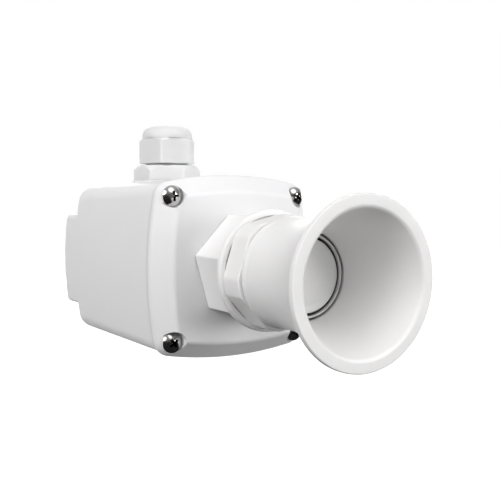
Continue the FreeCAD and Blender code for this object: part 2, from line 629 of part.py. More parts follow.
def make_gland_body():
    """The gland's hexagonal body, its lower thread, its neck and a crown of clamping claws."""
    blank = turned_blank(GLAND_HEX_ACROSS / 2, corner_radius(GLAND_HEX_ACROSS), PAD_TOP_Z, Z_GLAND_HEX,
                         GLAND_HEX_CHAMFER_ANGLE, False, True)
    body = polygon_prism(GLAND_HEX_ACROSS, GLAND_HEX_TURN, PAD_TOP_Z, Z_GLAND_HEX).common(blank)
    thread = rod_z(GLAND_THREAD_R, PAD_TOP_Z - GLAND_THREAD_BELOW, Z_GLAND_NECK)
    claw_r = GLAND_BORE_R + GLAND_CLAW_WALL
    claws = rod_z(claw_r, Z_GLAND_NECK, Z_GLAND_CLAW)
    slots = []
    for step in range(GLAND_CLAW_COUNT):
        slot = Part.makeBox(claw_r + OVERCUT, GLAND_CLAW_SLOT, GLAND_CLAW_HEIGHT + OVERCUT,
                            vec(0, -GLAND_CLAW_SLOT / 2, Z_GLAND_NECK))
        slots.append(slot.rotated(vec(0, 0, 0), ALONG_Z, 360 * step / GLAND_CLAW_COUNT))
    body = fused([body, thread, claws.cut(Part.makeCompound(slots))])
    washer_room = tube_z(GLAND_THREAD_R + HOLE_CLEARANCE + GLAND_WASHER_WIDTH, GLAND_THREAD_R,
                         PAD_TOP_Z - OVERCUT, PAD_TOP_Z + GLAND_WASHER_THICK)
    lower_bore = rod_z(GLAND_LOWER_BORE_R, PAD_TOP_Z - GLAND_THREAD_BELOW - OVERCUT, Z_GLAND_CLAW)
    seal_bore = rod_z(GLAND_BORE_R, Z_GLAND_SEAL, Z_GLAND_CLAW + OVERCUT)
    return on_gland(body.cut(washer_room).cut(lower_bore).cut(seal_bore))


def make_gland_washer():
    """The flat rubber washer in the gland body's underside."""
    inner = GLAND_THREAD_R + HOLE_CLEARANCE
    outer = inner + GLAND_WASHER_WIDTH - RUBBER_CLEARANCE
    return on_gland(tube_z(outer, inner, PAD_TOP_Z, PAD_TOP_Z + GLAND_WASHER_THICK))


def make_gland_locknut():
    """The nut inside the box that holds the gland."""
    low, high = Z_PAD_UNDER - GLAND_LOCKNUT_HEIGHT, Z_PAD_UNDER
    blank = turned_blank(GLAND_LOCKNUT_ACROSS / 2, corner_radius(GLAND_LOCKNUT_ACROSS), low, high,
                         NUT_CHAMFER_ANGLE, True, False)
    nut = polygon_prism(GLAND_LOCKNUT_ACROSS, 0.0, low, high).common(blank)
    return on_gland(nut.cut(rod_z(GLAND_THREAD_R + THREAD_CLEARANCE, low, high)))


def make_gland_seal():
    """The rubber sleeve inside the gland that grips the cable."""
    outer = GLAND_BORE_R - RUBBER_CLEARANCE
    return on_gland(tube_z(outer, GLAND_SEAL_BORE_R, Z_GLAND_SEAL, Z_GLAND_CLAW))


def make_gland_nut():
    """The domed nut that turns on the gland's neck and closes the claws on the cable."""
    flat_r = GLAND_NUT_ACROSS / 2
    blank = turned_blank(flat_r, corner_radius(GLAND_NUT_ACROSS), Z_GLAND_NUT, Z_GLAND_NUT_SHOULDER,
                         NUT_CHAMFER_ANGLE, False, True)
    hex_part = polygon_prism(GLAND_NUT_ACROSS, GLAND_NUT_TURN, Z_GLAND_NUT, Z_GLAND_NUT_SHOULDER)
    dome = rod_z(flat_r, Z_GLAND_NUT, Z_GLAND_NUT_TOP)
    top_edge = edges_where(dome, lambda p: abs(p.z - Z_GLAND_NUT_TOP) < SAME_PLACE)
    nut = fused([hex_part.common(blank), dome.makeFillet(GLAND_NUT_DOME_R, top_edge)])
    thread_r = GLAND_THREAD_R + RUNNING_CLEARANCE
    below, above = Z_GLAND_NUT - OVERCUT, Z_GLAND_NUT_TOP + OVERCUT
    inner = revolved_z([
        (0, below), (thread_r, below), (thread_r, Z_GLAND_NECK + HOLE_CLEARANCE),
        (GLAND_NUT_MOUTH_R, Z_GLAND_NUT_TOP - GLAND_NUT_WALL), (GLAND_NUT_MOUTH_R, above), (0, above)])
    return on_gland(nut.cut(inner))


def make_circuit_board():
    """The main board, on four posts of the box's rear wall."""
    board = block(BOARD_WIDTH, Y_BOARD_FRONT, Y_BOARD_BACK, BOARD_HEIGHT)
    holes = [rod_y(BOARD_HOLE_R, Y_BOARD_BACK, Y_BOARD_FRONT, x, z) for x, z in BOARD_PLACES]
    return board.cut(Part.makeCompound(holes))


def make_board_screws():
    """Four small screws that hold the board."""
    slot = (BOARD_SCREW_SLOT_LENGTH, BOARD_SCREW_SLOT_WIDTH, BOARD_SCREW_SLOT_DEPTH)
    length = BOARD_THICK + BOARD_SCREW_LENGTH - OVERCUT
    screw = make_pan_screw(BOARD_SCREW_R, length, BOARD_SCREW_HEAD_R, BOARD_SCREW_HEAD_HEIGHT, slot)
    return Part.makeCompound([screw.translated(vec(x, Y_BOARD_FRONT, z)) for x, z in BOARD_PLACES])


def terminal_xs():
    """The middle of each way of the terminal block."""
    return [(way - (TERMINAL_WAYS - 1) / 2) * TERMINAL_PITCH for way in range(TERMINAL_WAYS)]


def make_terminal_block():
    """The terminal block on the board, with a wire entry on top and a screw well in front of each way."""
    front = Y_BOARD_FRONT - TERMINAL_DEPTH
    body = block(TERMINAL_WAYS * TERMINAL_PITCH, Y_BOARD_FRONT, front, TERMINAL_HEIGHT, 0.0, TERMINAL_Z)
    entry_near = Y_BOARD_FRONT - (TERMINAL_DEPTH - TERMINAL_ENTRY) / 2
    well_r = TERMINAL_SCREW_R + THREAD_CLEARANCE
    holes = []
    entry_far = entry_near - TERMINAL_ENTRY
    entry_z = TERMINAL_Z + TERMINAL_HEIGHT / 2
    for x in terminal_xs():
        holes.append(block(TERMINAL_ENTRY, entry_near, entry_far, TERMINAL_HEIGHT, x, entry_z))
        holes.append(rod_y(well_r, front - OVERCUT, front + TERMINAL_SCREW_LENGTH, x, TERMINAL_Z))
    for hole in holes:
        body = body.cut(hole)
    return body


def make_terminal_screws():
    """One slotted clamp screw in each way of the terminal block."""
    front = Y_BOARD_FRONT - TERMINAL_DEPTH
    head = front + TERMINAL_SCREW_SUNK
    screws = []
    for x in terminal_xs():
        screw = rod_y(TERMINAL_SCREW_R, head, front + TERMINAL_SCREW_LENGTH, x, TERMINAL_Z)
        slot = block(2 * TERMINAL_SCREW_R, head, head + TERMINAL_SLOT, TERMINAL_SLOT, x, TERMINAL_Z)
        screws.append(screw.cut(slot))
    return Part.makeCompound(screws)


def make_drive_transformer():
    """The small transformer that drives the transducer: a core round a winding."""
    back, front = Y_BOARD_FRONT, Y_BOARD_FRONT - TRANSFORMER_HEIGHT
    inside_back, inside_front = back - TRANSFORMER_WALL, front + TRANSFORMER_WALL
    width = TRANSFORMER_SIZE - 2 * TRANSFORMER_WALL
    core = block(TRANSFORMER_SIZE, back, front, TRANSFORMER_SIZE)
    core = core.cut(block(width, inside_back, inside_front, TRANSFORMER_SIZE))
    height = TRANSFORMER_SIZE - TRANSFORMER_WALL
    winding = rounded_prism(width, height, TRANSFORMER_WALL, inside_back, inside_front)
    return fused([core, winding]).translated(vec(TRANSFORMER_X, 0, TRANSFORMER_Z))


def make_capacitors():
    """A row of round capacitors on the board."""
    top = Y_BOARD_FRONT - CAPACITOR_HEIGHT
    can = rod_y(CAPACITOR_R, Y_BOARD_FRONT, top)
    can = can.makeFillet(CAPACITOR_EDGE_R, edges_at_y(can, top))
    places = [CAPACITOR_X + step * CAPACITOR_PITCH for step in range(CAPACITOR_COUNT)]
    return Part.makeCompound([can.translated(vec(x, 0, CAPACITOR_Z)) for x in places])


def make_processor_chip():
    """The processor's flat package, with its top edge bevelled."""
    chip = block(CHIP_SIZE, Y_BOARD_FRONT, Y_BOARD_FRONT - CHIP_HEIGHT, CHIP_SIZE, CHIP_X, CHIP_Z)
    return chip.makeChamfer(CHIP_BEVEL, edges_at_y(chip, Y_BOARD_FRONT - CHIP_HEIGHT))


def make_sensor_socket():
    """The socket on the board for the transducer's lead, with the lead's plug in it."""
    return block(SOCKET_WIDTH, Y_BOARD_FRONT, Y_BOARD_FRONT - SOCKET_DEPTH, SOCKET_HEIGHT, 0.0, SOCKET_Z)


def make_transducer_lead():
    """The lead from the transducer's back, down in two easy bends, to the plug in the board's socket."""
    start = Y_NECK_TIP + TRANSDUCER_INSET + TRANSDUCER_LENGTH
    plug_rear = Y_BOARD_FRONT - SOCKET_DEPTH
    plug_front = plug_rear - LEAD_PLUG_LENGTH
    angle = math.radians(LEAD_BEND_ANGLE)
    drop = LEAD_BEND_R * (1 - math.cos(angle))
    reach = LEAD_BEND_R * math.sin(angle)
    slope = (-SOCKET_Z - 2 * drop) / math.tan(angle)
    half_drop = LEAD_BEND_R * (1 - math.cos(angle / 2))
    half_reach = LEAD_BEND_R * math.sin(angle / 2)
    bend = start + LEAD_END_RUN
    low_bend = bend + 2 * reach + slope
    points = [
        vec(0, start, 0), vec(0, bend, 0),
        vec(0, bend + half_reach, -half_drop), vec(0, bend + reach, -drop),
        vec(0, low_bend - reach, SOCKET_Z + drop), vec(0, low_bend - half_reach, SOCKET_Z + half_drop),
        vec(0, low_bend, SOCKET_Z), vec(0, plug_front, SOCKET_Z)]
    path = Part.Wire([
        Part.LineSegment(points[0], points[1]).toShape(),
        Part.Arc(points[1], points[2], points[3]).toShape(),
        Part.LineSegment(points[3], points[4]).toShape(),
        Part.Arc(points[4], points[5], points[6]).toShape(),
        Part.LineSegment(points[6], points[7]).toShape()])
    section = Part.Wire(Part.makeCircle(LEAD_R, points[0], ALONG_Y))
    plug = block(SOCKET_WIDTH, plug_rear, plug_front, SOCKET_HEIGHT, 0.0, SOCKET_Z)
    return fused([path.makePipeShell([section], True, False), plug])


PIECES = {
    "housing": make_housing,
    "front_lid": make_lid,
    "lid_gasket": make_lid_gasket,
    "lid_screws": make_lid_screws,
    "lid_inserts": make_lid_inserts,
    "sensor_neck": make_sensor_neck,
    "neck_seal": make_neck_seal,
    "clamp_nut": make_clamp_nut,
    "jam_nut": make_jam_nut,
    "horn": make_horn,
    "transducer": make_transducer,
    "isolation_ring": make_isolation_ring,
    "gland_body": make_gland_body,
    "gland_washer": make_gland_washer,
    "gland_locknut": make_gland_locknut,
    "gland_seal": make_gland_seal,
    "gland_nut": make_gland_nut,
    "circuit_board": make_circuit_board,
    "board_screws": make_board_screws,
    "terminal_block": make_terminal_block,
    "terminal_screws": make_terminal_screws,
    "drive_transformer": make_drive_transformer,
    "capacitors": make_capacitors,
    "processor_chip": make_processor_chip,
    "sensor_socket": make_sensor_socket,
    "transducer_lead": make_transducer_lead,
}

os.makedirs("parts", exist_ok=True)
for node, make in PIECES.items():
    shape = make()
    solids = len(shape.Solids)
    print(f"{node}: {solids} solid(s), {shape.Volume / 1000:.2f} cm3, valid {shape.isValid()}")
    shape.exportStep(f"parts/{node}.step")
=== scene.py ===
"""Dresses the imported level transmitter: soft nuts, horn and gland, plated screws, finishes and a studio."""
import json
import math

import bmesh
import bpy
from mathutils import Matrix, Vector


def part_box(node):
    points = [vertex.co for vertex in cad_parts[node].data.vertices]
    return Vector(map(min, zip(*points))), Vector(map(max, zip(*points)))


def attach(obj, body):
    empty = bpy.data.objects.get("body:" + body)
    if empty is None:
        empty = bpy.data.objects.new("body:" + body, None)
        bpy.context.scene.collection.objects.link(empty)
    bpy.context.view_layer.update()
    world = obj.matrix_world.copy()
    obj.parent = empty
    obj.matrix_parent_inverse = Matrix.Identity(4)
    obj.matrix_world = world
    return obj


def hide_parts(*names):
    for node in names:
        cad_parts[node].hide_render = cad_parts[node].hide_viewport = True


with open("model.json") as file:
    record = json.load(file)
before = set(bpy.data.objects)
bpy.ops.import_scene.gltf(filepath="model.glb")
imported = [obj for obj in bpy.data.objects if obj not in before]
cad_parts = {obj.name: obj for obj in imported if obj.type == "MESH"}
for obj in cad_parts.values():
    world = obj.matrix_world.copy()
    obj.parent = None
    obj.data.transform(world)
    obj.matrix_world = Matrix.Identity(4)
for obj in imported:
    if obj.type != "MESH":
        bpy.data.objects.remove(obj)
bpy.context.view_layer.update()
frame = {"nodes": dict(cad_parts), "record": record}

bl_info = {
    "name": "Level transmitter",
    "version": (1, 0, 0),
    "blender": (4, 5, 0),
    "location": "View3D > Sidebar > Transmitter",
    "description": "Models and finishes an ultrasonic level transmitter around its packed solids",
    "category": "Add Mesh",
}

MM = 0.001
WELD = 1e-6
SPIN_STEPS = 192
HEX_STEPS = 96
# half the angle that one flat of a hexagon spans
HEX_HALF = math.pi / 6
# share of a hexagon's width across its flats that lies past its corners
PAST_CORNERS = 0.6
# how far a bar stands past the blank that trims it
SPARE = 1.0 * MM
ROUND_SEGMENTS = 6
SOFT_SEGMENTS = 3
SOFT_LIMIT = math.radians(20.0)
SMOOTH_LIMIT = math.radians(40.0)
FLAT_LIMIT = math.radians(0.2)
# points closer than this share of a soft edge's width are merged before it is rounded
MERGE_SHARE = 0.125
NORMAL_WEIGHT = 80

HORN_LOW, HORN_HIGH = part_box("horn")
CLAMP_LOW, CLAMP_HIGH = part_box("clamp_nut")
JAM_LOW, JAM_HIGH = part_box("jam_nut")
GLAND_LOW, GLAND_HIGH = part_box("gland_body")
GLAND_NUT_LOW, GLAND_NUT_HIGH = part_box("gland_nut")
PUCK_LOW, PUCK_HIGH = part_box("transducer")
HOUSING_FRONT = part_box("housing")[0].y
SCREW_LOW, SCREW_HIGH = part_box("lid_screws")
GLAND_AXIS = Vector((0.0, (GLAND_LOW.y + GLAND_HIGH.y) / 2, 0.0))


def size(label, about, millimetres):
    """A length that a user may change, given in millimetres."""
    return bpy.props.FloatProperty(name=label, description=about, default=millimetres * MM, min=0.0,
                                   precision=5, unit="LENGTH")


def angle(label, about, degrees):
    """A turn that a user may change, given in degrees."""
    return bpy.props.FloatProperty(name=label, description=about, default=math.radians(degrees),
                                   subtype="ANGLE", unit="ROTATION")


def colour(label, about, red, green, blue):
    """A colour that a user may change, in linear light."""
    return bpy.props.FloatVectorProperty(name=label, description=about, default=(red, green, blue, 1.0),
                                         size=4, min=0.0, max=1.0, subtype="COLOR")


class TransmitterSizes(bpy.types.PropertyGroup):
    """Sizes of the pieces that are modelled here."""
    horn_socket: size("Horn socket", "Outside radius of the horn's straight rear part", 21.0)
    horn_bead: size("Horn bead", "Outside radius of the bead at the horn's rear", 21.4)
    horn_bead_end: size("Horn bead end", "Distance of the bead's front edge from the horn's rear", 1.8)
    horn_bead_run: size("Horn bead run", "Length over which the bead runs out", 1.2)
    horn_rim: size("Horn rim", "Outside radius of the horn's rim", 30.7)
    horn_rim_edge: size("Rim edge", "Straight length of the rim's outside", 2.0)
    horn_mouth: size("Horn mouth", "Inside radius of the horn at its rim", 25.9)
    horn_throat: size("Horn throat", "Inside radius of the horn at the transducer", 16.8)
    horn_cone: size("Horn cone", "Depth of the horn's inside cone", 33.0)
    horn_flare: size("Horn flare", "Length of the horn's outside flare", 33.6)
    horn_thread: size("Horn thread", "Inside radius of the horn's thread", 16.1)
    horn_thread_length: size("Thread length", "Depth of the horn's thread", 8.0)
    horn_rim_round: size("Rim round", "Rounding of the rim's inner edge", 1.5)
    horn_rim_soft: size("Rim edges", "Rounding of the rim's two outer edges", 0.5)
    nut_bore: size("Nut bore", "Inside radius of the two nuts on the sensor", 16.1)
    clamp_across: size("Clamp nut", "Clamp nut's width across its flats", 39.2)
    collar_length: size("Collar", "Length of the clamp nut's round collar", 2.5)
    collar_wall: size("Collar wall", "Thickness of the collar's wall", 2.5)
    collar_sink: size("Collar depth", "Depth of the hollow in the collar", 0.6)
    collar_round: size("Collar round", "Rounding of the collar's outer front edge", 1.2)
    collar_soft: size("Collar edges", "Rounding of the collar's other edges", 0.3)
    jam_across: size("Jam nut", "Jam nut's width across its flats", 42.4)
    jam_turned: size("Jam nut turning", "Radius that the jam nut's corners are turned to", 22.7)
    jam_boss: size("Jam nut boss", "Radius of the boss that seats the jam nut in the collar", 19.0)
    nut_soft: size("Nut edges", "Width of the soft edges of the nuts", 0.55)
    clamp_turn: angle("Clamp nut turn", "Where the clamp nut stopped", 46.4)
    jam_turn: angle("Jam nut turn", "Where the jam nut stopped", 13.0)
    gland_across: size("Gland body", "Gland body's width across its flats", 27.8)
    gland_hex: size("Gland body height", "Height of the gland body's hexagon", 7.3)
    gland_thread: size("Gland thread", "Outside radius of the gland's two threads", 10.0)
    gland_thread_below: size("Gland thread length", "Length of the thread below the hexagon", 12.0)
    gland_neck: size("Gland neck", "Height of the threaded neck above the hexagon", 9.0)
    gland_bore: size("Gland bore", "Inside radius of the gland's neck", 6.6)
    gland_nut_across: size("Gland nut", "Gland nut's width across its flats", 24.0)
    gland_gap: size("Gland gap", "Gap between the gland's body and its nut", 0.8)
    gland_nut_hex: size("Gland nut height", "Height of the gland nut's hexagon", 12.0)
    gland_nut_dome: size("Gland nut dome", "Rounding of the gland nut's dome", 4.4)
    gland_nut_mouth: size("Gland nut mouth", "Radius of the cable's way through the gland nut", 6.4)
    gland_soft: size("Gland edges", "Width of the soft edges of the gland", 0.4)
    gland_turn: angle("Gland body turn", "Where the gland body stopped", 33.0)
    gland_nut_turn: angle("Gland nut turn", "Where the gland nut stopped", 51.0)
    screw_shank: size("Screw thread", "Radius of the lid screws' thread", 2.0)
    screw_head: size("Screw head", "Radius of the lid screws' heads", 4.35)
    screw_head_height: size("Screw head height", "Height of the lid screws' heads", 2.9)
    screw_edge: size("Screw head edge", "Height of the head's upright edge", 1.0)
    recess_length: size("Recess length", "Length of the cross recess across the head", 5.4)
    recess_width: size("Recess width", "Width of each arm of the recess", 1.35)
    recess_depth: size("Recess depth", "Depth of the recess", 2.0)
    puck_radius: size("Transducer", "Radius of the transducer's face", 14.05)
    puck_lip: size("Transducer lip", "Width of the soft lip round the transducer's face", 2.6)
    puck_hollow: size("Transducer hollow", "Depth of the transducer's face behind its lip", 0.45)


class TransmitterColours(bpy.types.PropertyGroup):
    """Colours of the finishes."""
    box: colour("Box", "Moulded box and lid", 0.765, 0.76, 0.77)
    sensor: colour("Sensor", "Horn, neck and their nuts", 0.78, 0.772, 0.77)
    gland: colour("Gland", "Cable gland", 0.67, 0.67, 0.67)
    face: colour("Transducer", "Transducer's sealed face", 0.80, 0.80, 0.795)
    rubber: colour("Rubber", "Seals and the dark ring", 0.03, 0.03, 0.03)
    steel: colour("Plated steel", "Screws", 0.62, 0.61, 0.60)
    brass: colour("Brass", "Threaded inserts", 0.72, 0.55, 0.25)
    laminate: colour("Laminate", "Circuit board", 0.03, 0.20, 0.08)
    terminal: colour("Terminals", "Terminal block and socket", 0.12, 0.30, 0.16)
    component: colour("Components", "Transformer and processor", 0.03, 0.03, 0.03)
    can: colour("Cans", "Capacitors", 0.60, 0.60, 0.62)
    lead: colour("Lead", "Transducer's lead", 0.20, 0.20, 0.21)


def deselect():
    """Leaves edit mode, with nothing selected."""
    if bpy.context.mode != "OBJECT":
        bpy.ops.object.mode_set(mode="OBJECT")
    bpy.ops.object.select_all(action="DESELECT")


def take(piece):
    """Makes one piece the only selected one, and the active one."""
    deselect()
    piece.select_set(True)
    bpy.context.view_layer.objects.active = piece


def edit(piece):
    """Opens a piece in edit mode with nothing selected in it."""
    take(piece)
    bpy.ops.object.mode_set(mode="EDIT")
    bpy.ops.mesh.select_mode(type="VERT")
    bpy.ops.mesh.select_all(action="DESELECT")


def pick(piece, test):
    """Selects the points of a piece in edit mode that pass a test of their place."""
    mesh = bmesh.from_edit_mesh(piece.data)
    found = 0
    for point in mesh.verts:
        chosen = test(point.co)
        point.select_set(chosen)
        found += chosen
    mesh.select_flush_mode()
    bmesh.update_edit_mesh(piece.data)
    if not found:
        raise RuntimeError(f"{piece.name}: no point was found there")


def close_mesh(piece):
    """Merges what lies together and turns all faces outwards."""
    edit(piece)
    bpy.ops.mesh.select_all(action="SELECT")
    bpy.ops.mesh.remove_doubles(threshold=WELD)
    bpy.ops.mesh.normals_make_consistent(inside=False)
    deselect()


def settle(piece):
    """Puts a piece's place, turn and scale into its mesh."""
    take(piece)
    bpy.ops.object.transform_apply(location=True, rotation=True, scale=True)


def add_modifier(piece, kind, **settings):
    """Adds a modifier to a piece and applies it."""
    take(piece)
    bpy.ops.object.modifier_add(type=kind)
    step = piece.modifiers[-1]
    for name, value in settings.items():
        setattr(step, name, value)
    bpy.ops.object.modifier_apply(modifier=step.name)


def carve(piece, tool, operation):
    """Cuts, joins or trims a piece with another, which is used up."""
    add_modifier(piece, "BOOLEAN", operation=operation, solver="EXACT", object=tool)
    bpy.data.objects.remove(tool)


def soften(piece, width):
    """Rounds a piece's sharp edges and shades it smoothly, with flats that stay flat."""
    edit(piece)
    bpy.ops.mesh.select_all(action="SELECT")
    bpy.ops.mesh.remove_doubles(threshold=width * MERGE_SHARE)
    bpy.ops.mesh.dissolve_limited(angle_limit=FLAT_LIMIT)
    deselect()
    add_modifier(piece, "BEVEL", width=width, segments=SOFT_SEGMENTS, limit_method="ANGLE",
                 angle_limit=SOFT_LIMIT, use_clamp_overlap=False, miter_outer="MITER_ARC")
    smooth(piece)


def smooth(piece, limit=SMOOTH_LIMIT):
    """Shades a piece smoothly, with normals that follow its larger faces."""
    take(piece)
    bpy.ops.object.shade_smooth_by_angle(angle=limit)
    add_modifier(piece, "WEIGHTED_NORMAL", keep_sharp=True, weight=NORMAL_WEIGHT)


def join(piece, other):
    """Makes another piece part of a piece's mesh."""
    take(piece)
    other.select_set(True)
    bpy.ops.object.join()


def arc(start, middle, end, count):
    """Points on the circle through three (radius, height) points, without its two ends."""
    (ax, ay), (bx, by), (cx, cy) = start, middle, end
    a, b, c = (x ** 2 + y ** 2 for x, y in (start, middle, end))
    spread = 2 * (ax * (by - cy) + bx * (cy - ay) + cx * (ay - by))
    ux = (a * (by - cy) + b * (cy - ay) + c * (ay - by)) / spread
    uy = (a * (cx - bx) + b * (ax - cx) + c * (bx - ax)) / spread
    radius = math.hypot(ax - ux, ay - uy)
    first = math.atan2(ay - uy, ax - ux)
    last = math.atan2(cy - uy, cx - ux)
    turn = (last - first + math.pi) % math.tau - math.pi
    angles = [first + turn * step / (count + 1) for step in range(1, count + 1)]
    return [(ux + radius * math.cos(way), uy + radius * math.sin(way)) for way in angles]


def turned(name, corners, closed=True, steps=SPIN_STEPS, rounds=()):
    """A turned piece about Z: a point is extruded from corner to corner, and the rounded line is spun.

    Corners are (radius, height); rounds are (radius, height, rounding) for the corners to round."""
    deselect()
    points = [Vector((radius, 0.0, height)) for radius, height in corners]
    bpy.ops.mesh.primitive_plane_add(size=MM, location=points[0])
    piece = bpy.context.object
    piece.name = name
    settle(piece)
    edit(piece)
    bpy.ops.mesh.select_all(action="SELECT")
    bpy.ops.mesh.merge(type="CENTER")
    for here, there in zip(points, points[1:]):
        bpy.ops.mesh.extrude_region_move(TRANSFORM_OT_translate={"value": there - here})
    if closed:
        pick(piece, lambda co: (co - points[0]).length < WELD or (co - points[-1]).length < WELD)
        bpy.ops.mesh.edge_face_add()
    for radius, height, rounding in rounds:
        place = Vector((radius, 0.0, height))
        index = min(range(len(points)), key=lambda i: (points[i] - place).length)
        before = (points[index] - points[index - 1]).normalized()
        after = (points[(index + 1) % len(points)] - points[index]).normalized()
        reach = rounding * math.tan(before.angle(after) / 2)
        pick(piece, lambda co: (co - points[index]).length < WELD)
        bpy.ops.mesh.bevel(offset_type="OFFSET", offset=reach, segments=ROUND_SEGMENTS,
                           affect="VERTICES", clamp_overlap=False)
    deselect()
    add_modifier(piece, "SCREW", axis="Z", angle=math.tau, steps=steps, use_merge_vertices=True,
                 merge_threshold=WELD)
    close_mesh(piece)
    return piece


def hex_bar(name, across, low, high):
    """A hexagonal bar about Z with a corner towards +X, a start for a nut."""
    deselect()
    radius = across / 2 / math.cos(HEX_HALF)
    bpy.ops.mesh.primitive_cylinder_add(vertices=6, radius=radius, depth=high - low,
                                        location=(0, 0, (low + high) / 2), rotation=(0, 0, HEX_HALF))
    bar = bpy.context.object
    bar.name = name
    settle(bar)
    return bar


def nut_blank(bore, flat, outer, length, slope):
    """The turned ring that trims a hexagonal bar to a nut, with a cone at its upper end."""
    drop = (outer - flat) * math.tan(slope)
    corners = [(bore, 0.0), (outer, 0.0), (outer, length - drop), (flat, length), (bore, length)]
    return turned("blank", corners, steps=HEX_STEPS)


def face_front(piece, rear_y, turn=0.0):
    """Points a piece built up along +Z along -Y from a station, turned about the sensor's axis."""
    piece.rotation_euler = (math.pi / 2, -turn, 0.0)
    piece.location = (0.0, rear_y, 0.0)
    settle(piece)


def stand_on_gland(piece, height, turn=0.0):
    """Moves a piece built up along +Z to the gland's axis at a height, turned about that axis."""
    piece.rotation_euler = (0.0, 0.0, turn)
    piece.location = (GLAND_AXIS.x, GLAND_AXIS.y, height)
    settle(piece)


def finish_piece(piece, node, body, slot):
    """Gives a finished piece its finish, hangs it on the body it rides on and hides the solid it stands for.
    """
    piece.data.name = piece.name
    piece.data.materials.clear()
    piece.data.materials.append(finish(slot))
    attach(piece, body)
    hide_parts(node)


# painted shade in a soft line along the seam where the lid overhangs the box: its station behind the box's
# front, its reach and the share of colour it keeps
SEAM_BEHIND = 1.5 * MM
SEAM_REACH = 2.6 * MM
SEAM_SHADE = 0.86
MILKY_REACH = 4.0 * MM
HOLLOW_SAMPLES = 8
FINE_DETAIL = 3.0
TONE_DETAIL = 2.0
GLOSS_DETAIL = 4.0
# patches of gloss are this many times finer than the drifts of tone
GLOSS_FINER = 7.0
# the span of the gloss noise that goes from the glossy to the dull roughness
GLOSS_FROM = 0.3
GLOSS_TO = 0.7
BUMP_STRENGTH = 0.5
METAL_SPECULAR = 0.5
PLASTIC_SPECULAR = 0.3
# a Mix node's sockets for colours
MIX_A = 6
MIX_B = 7
MIX_RESULT = 2

FINISHES = {
    # slot: colour, darker share, roughness from and to, grain, patch, bump depth in mm, metallic
    "box_plastic": ("box", 0.965, 0.46, 0.56, 1500.0, 20.0, 0.010, 0.0),
    "sensor_plastic": ("sensor", 0.965, 0.42, 0.52, 1800.0, 24.0, 0.006, 0.0),
    "gland_plastic": ("gland", 0.96, 0.44, 0.54, 1700.0, 30.0, 0.007, 0.0),
    "transducer_face": ("face", 0.95, 0.30, 0.40, 1200.0, 40.0, 0.008, 0.0),
    "dark_rubber": ("rubber", 0.70, 0.60, 0.75, 1600.0, 60.0, 0.012, 0.0),
    "plated_steel": ("steel", 0.88, 0.10, 0.22, 900.0, 160.0, 0.004, 1.0),
    "brass": ("brass", 0.82, 0.22, 0.36, 900.0, 90.0, 0.006, 1.0),
    "board_laminate": ("laminate", 0.70, 0.25, 0.40, 700.0, 120.0, 0.010, 0.0),
    "terminal_plastic": ("terminal", 0.85, 0.38, 0.50, 1400.0, 50.0, 0.010, 0.0),
    "component_black": ("component", 0.75, 0.45, 0.60, 1500.0, 60.0, 0.010, 0.0),
    "can_aluminium": ("can", 0.85, 0.25, 0.40, 1200.0, 80.0, 0.006, 1.0),
    "lead_jacket": ("lead", 0.85, 0.50, 0.62, 1600.0, 70.0, 0.010, 0.0),
}

PAINTED_HOLLOW_SHADE = {
    # slot: painted shade in its hollows and recesses; by its own shape alone, reach in mm, open share where
    # darkest and where clear, darkest share
    "plated_steel": (True, 3.0, 0.7, 0.97, 0.05),
    "sensor_plastic": (False, 4.0, 0.1, 0.5, 0.5),
}


def add_node(tree, kind, place, **settings):
    """Adds a node at a place in a tree."""
    node = tree.nodes.new(kind)
    node.location = place
    for name, value in settings.items():
        setattr(node, name, value)
    return node


def new_group(name, inputs, outputs):
    """An empty node group with named sockets, and its two end nodes."""
    tree = bpy.data.node_groups.new(name, "ShaderNodeTree")
    for label, default in inputs:
        socket = tree.interface.new_socket(label, in_out="INPUT", socket_type="NodeSocketFloat")
        socket.default_value = default
    for label in outputs:
        tree.interface.new_socket(label, in_out="OUTPUT", socket_type="NodeSocketFloat")
    start = add_node(tree, "NodeGroupInput", (-600, 0))
    end = add_node(tree, "NodeGroupOutput", (500, 0))
    return tree, start, end


def grain_group():
    """Fine moulded grain, slow drifts of tone and patches of gloss, all in the piece's own space."""
    found = bpy.data.node_groups.get("moulded_grain")
    if found:
        return found
    inputs = (("Grain", 1400.0), ("Patch", 22.0))
    tree, start, end = new_group("moulded_grain", inputs, ("Height", "Tone", "Gloss"))
    place = add_node(tree, "ShaderNodeTexCoord", (-600, -220))
    fine = add_node(tree, "ShaderNodeTexNoise", (-300, 200))
    slow = add_node(tree, "ShaderNodeTexNoise", (-300, -60))
    patch = add_node(tree, "ShaderNodeTexNoise", (-300, -320))
    often = add_node(tree, "ShaderNodeMath", (-460, -320), operation="MULTIPLY")
    often.inputs[1].default_value = GLOSS_FINER
    for noise, detail in ((fine, FINE_DETAIL), (slow, TONE_DETAIL), (patch, GLOSS_DETAIL)):
        tree.links.new(place.outputs["Object"], noise.inputs["Vector"])
        noise.inputs["Detail"].default_value = detail
    tree.links.new(start.outputs["Grain"], fine.inputs["Scale"])
    tree.links.new(start.outputs["Patch"], slow.inputs["Scale"])
    tree.links.new(start.outputs["Patch"], often.inputs[0])
    tree.links.new(often.outputs[0], patch.inputs["Scale"])
    tree.links.new(fine.outputs["Fac"], end.inputs["Height"])
    tree.links.new(slow.outputs["Fac"], end.inputs["Tone"])
    tree.links.new(patch.outputs["Fac"], end.inputs["Gloss"])
    return tree


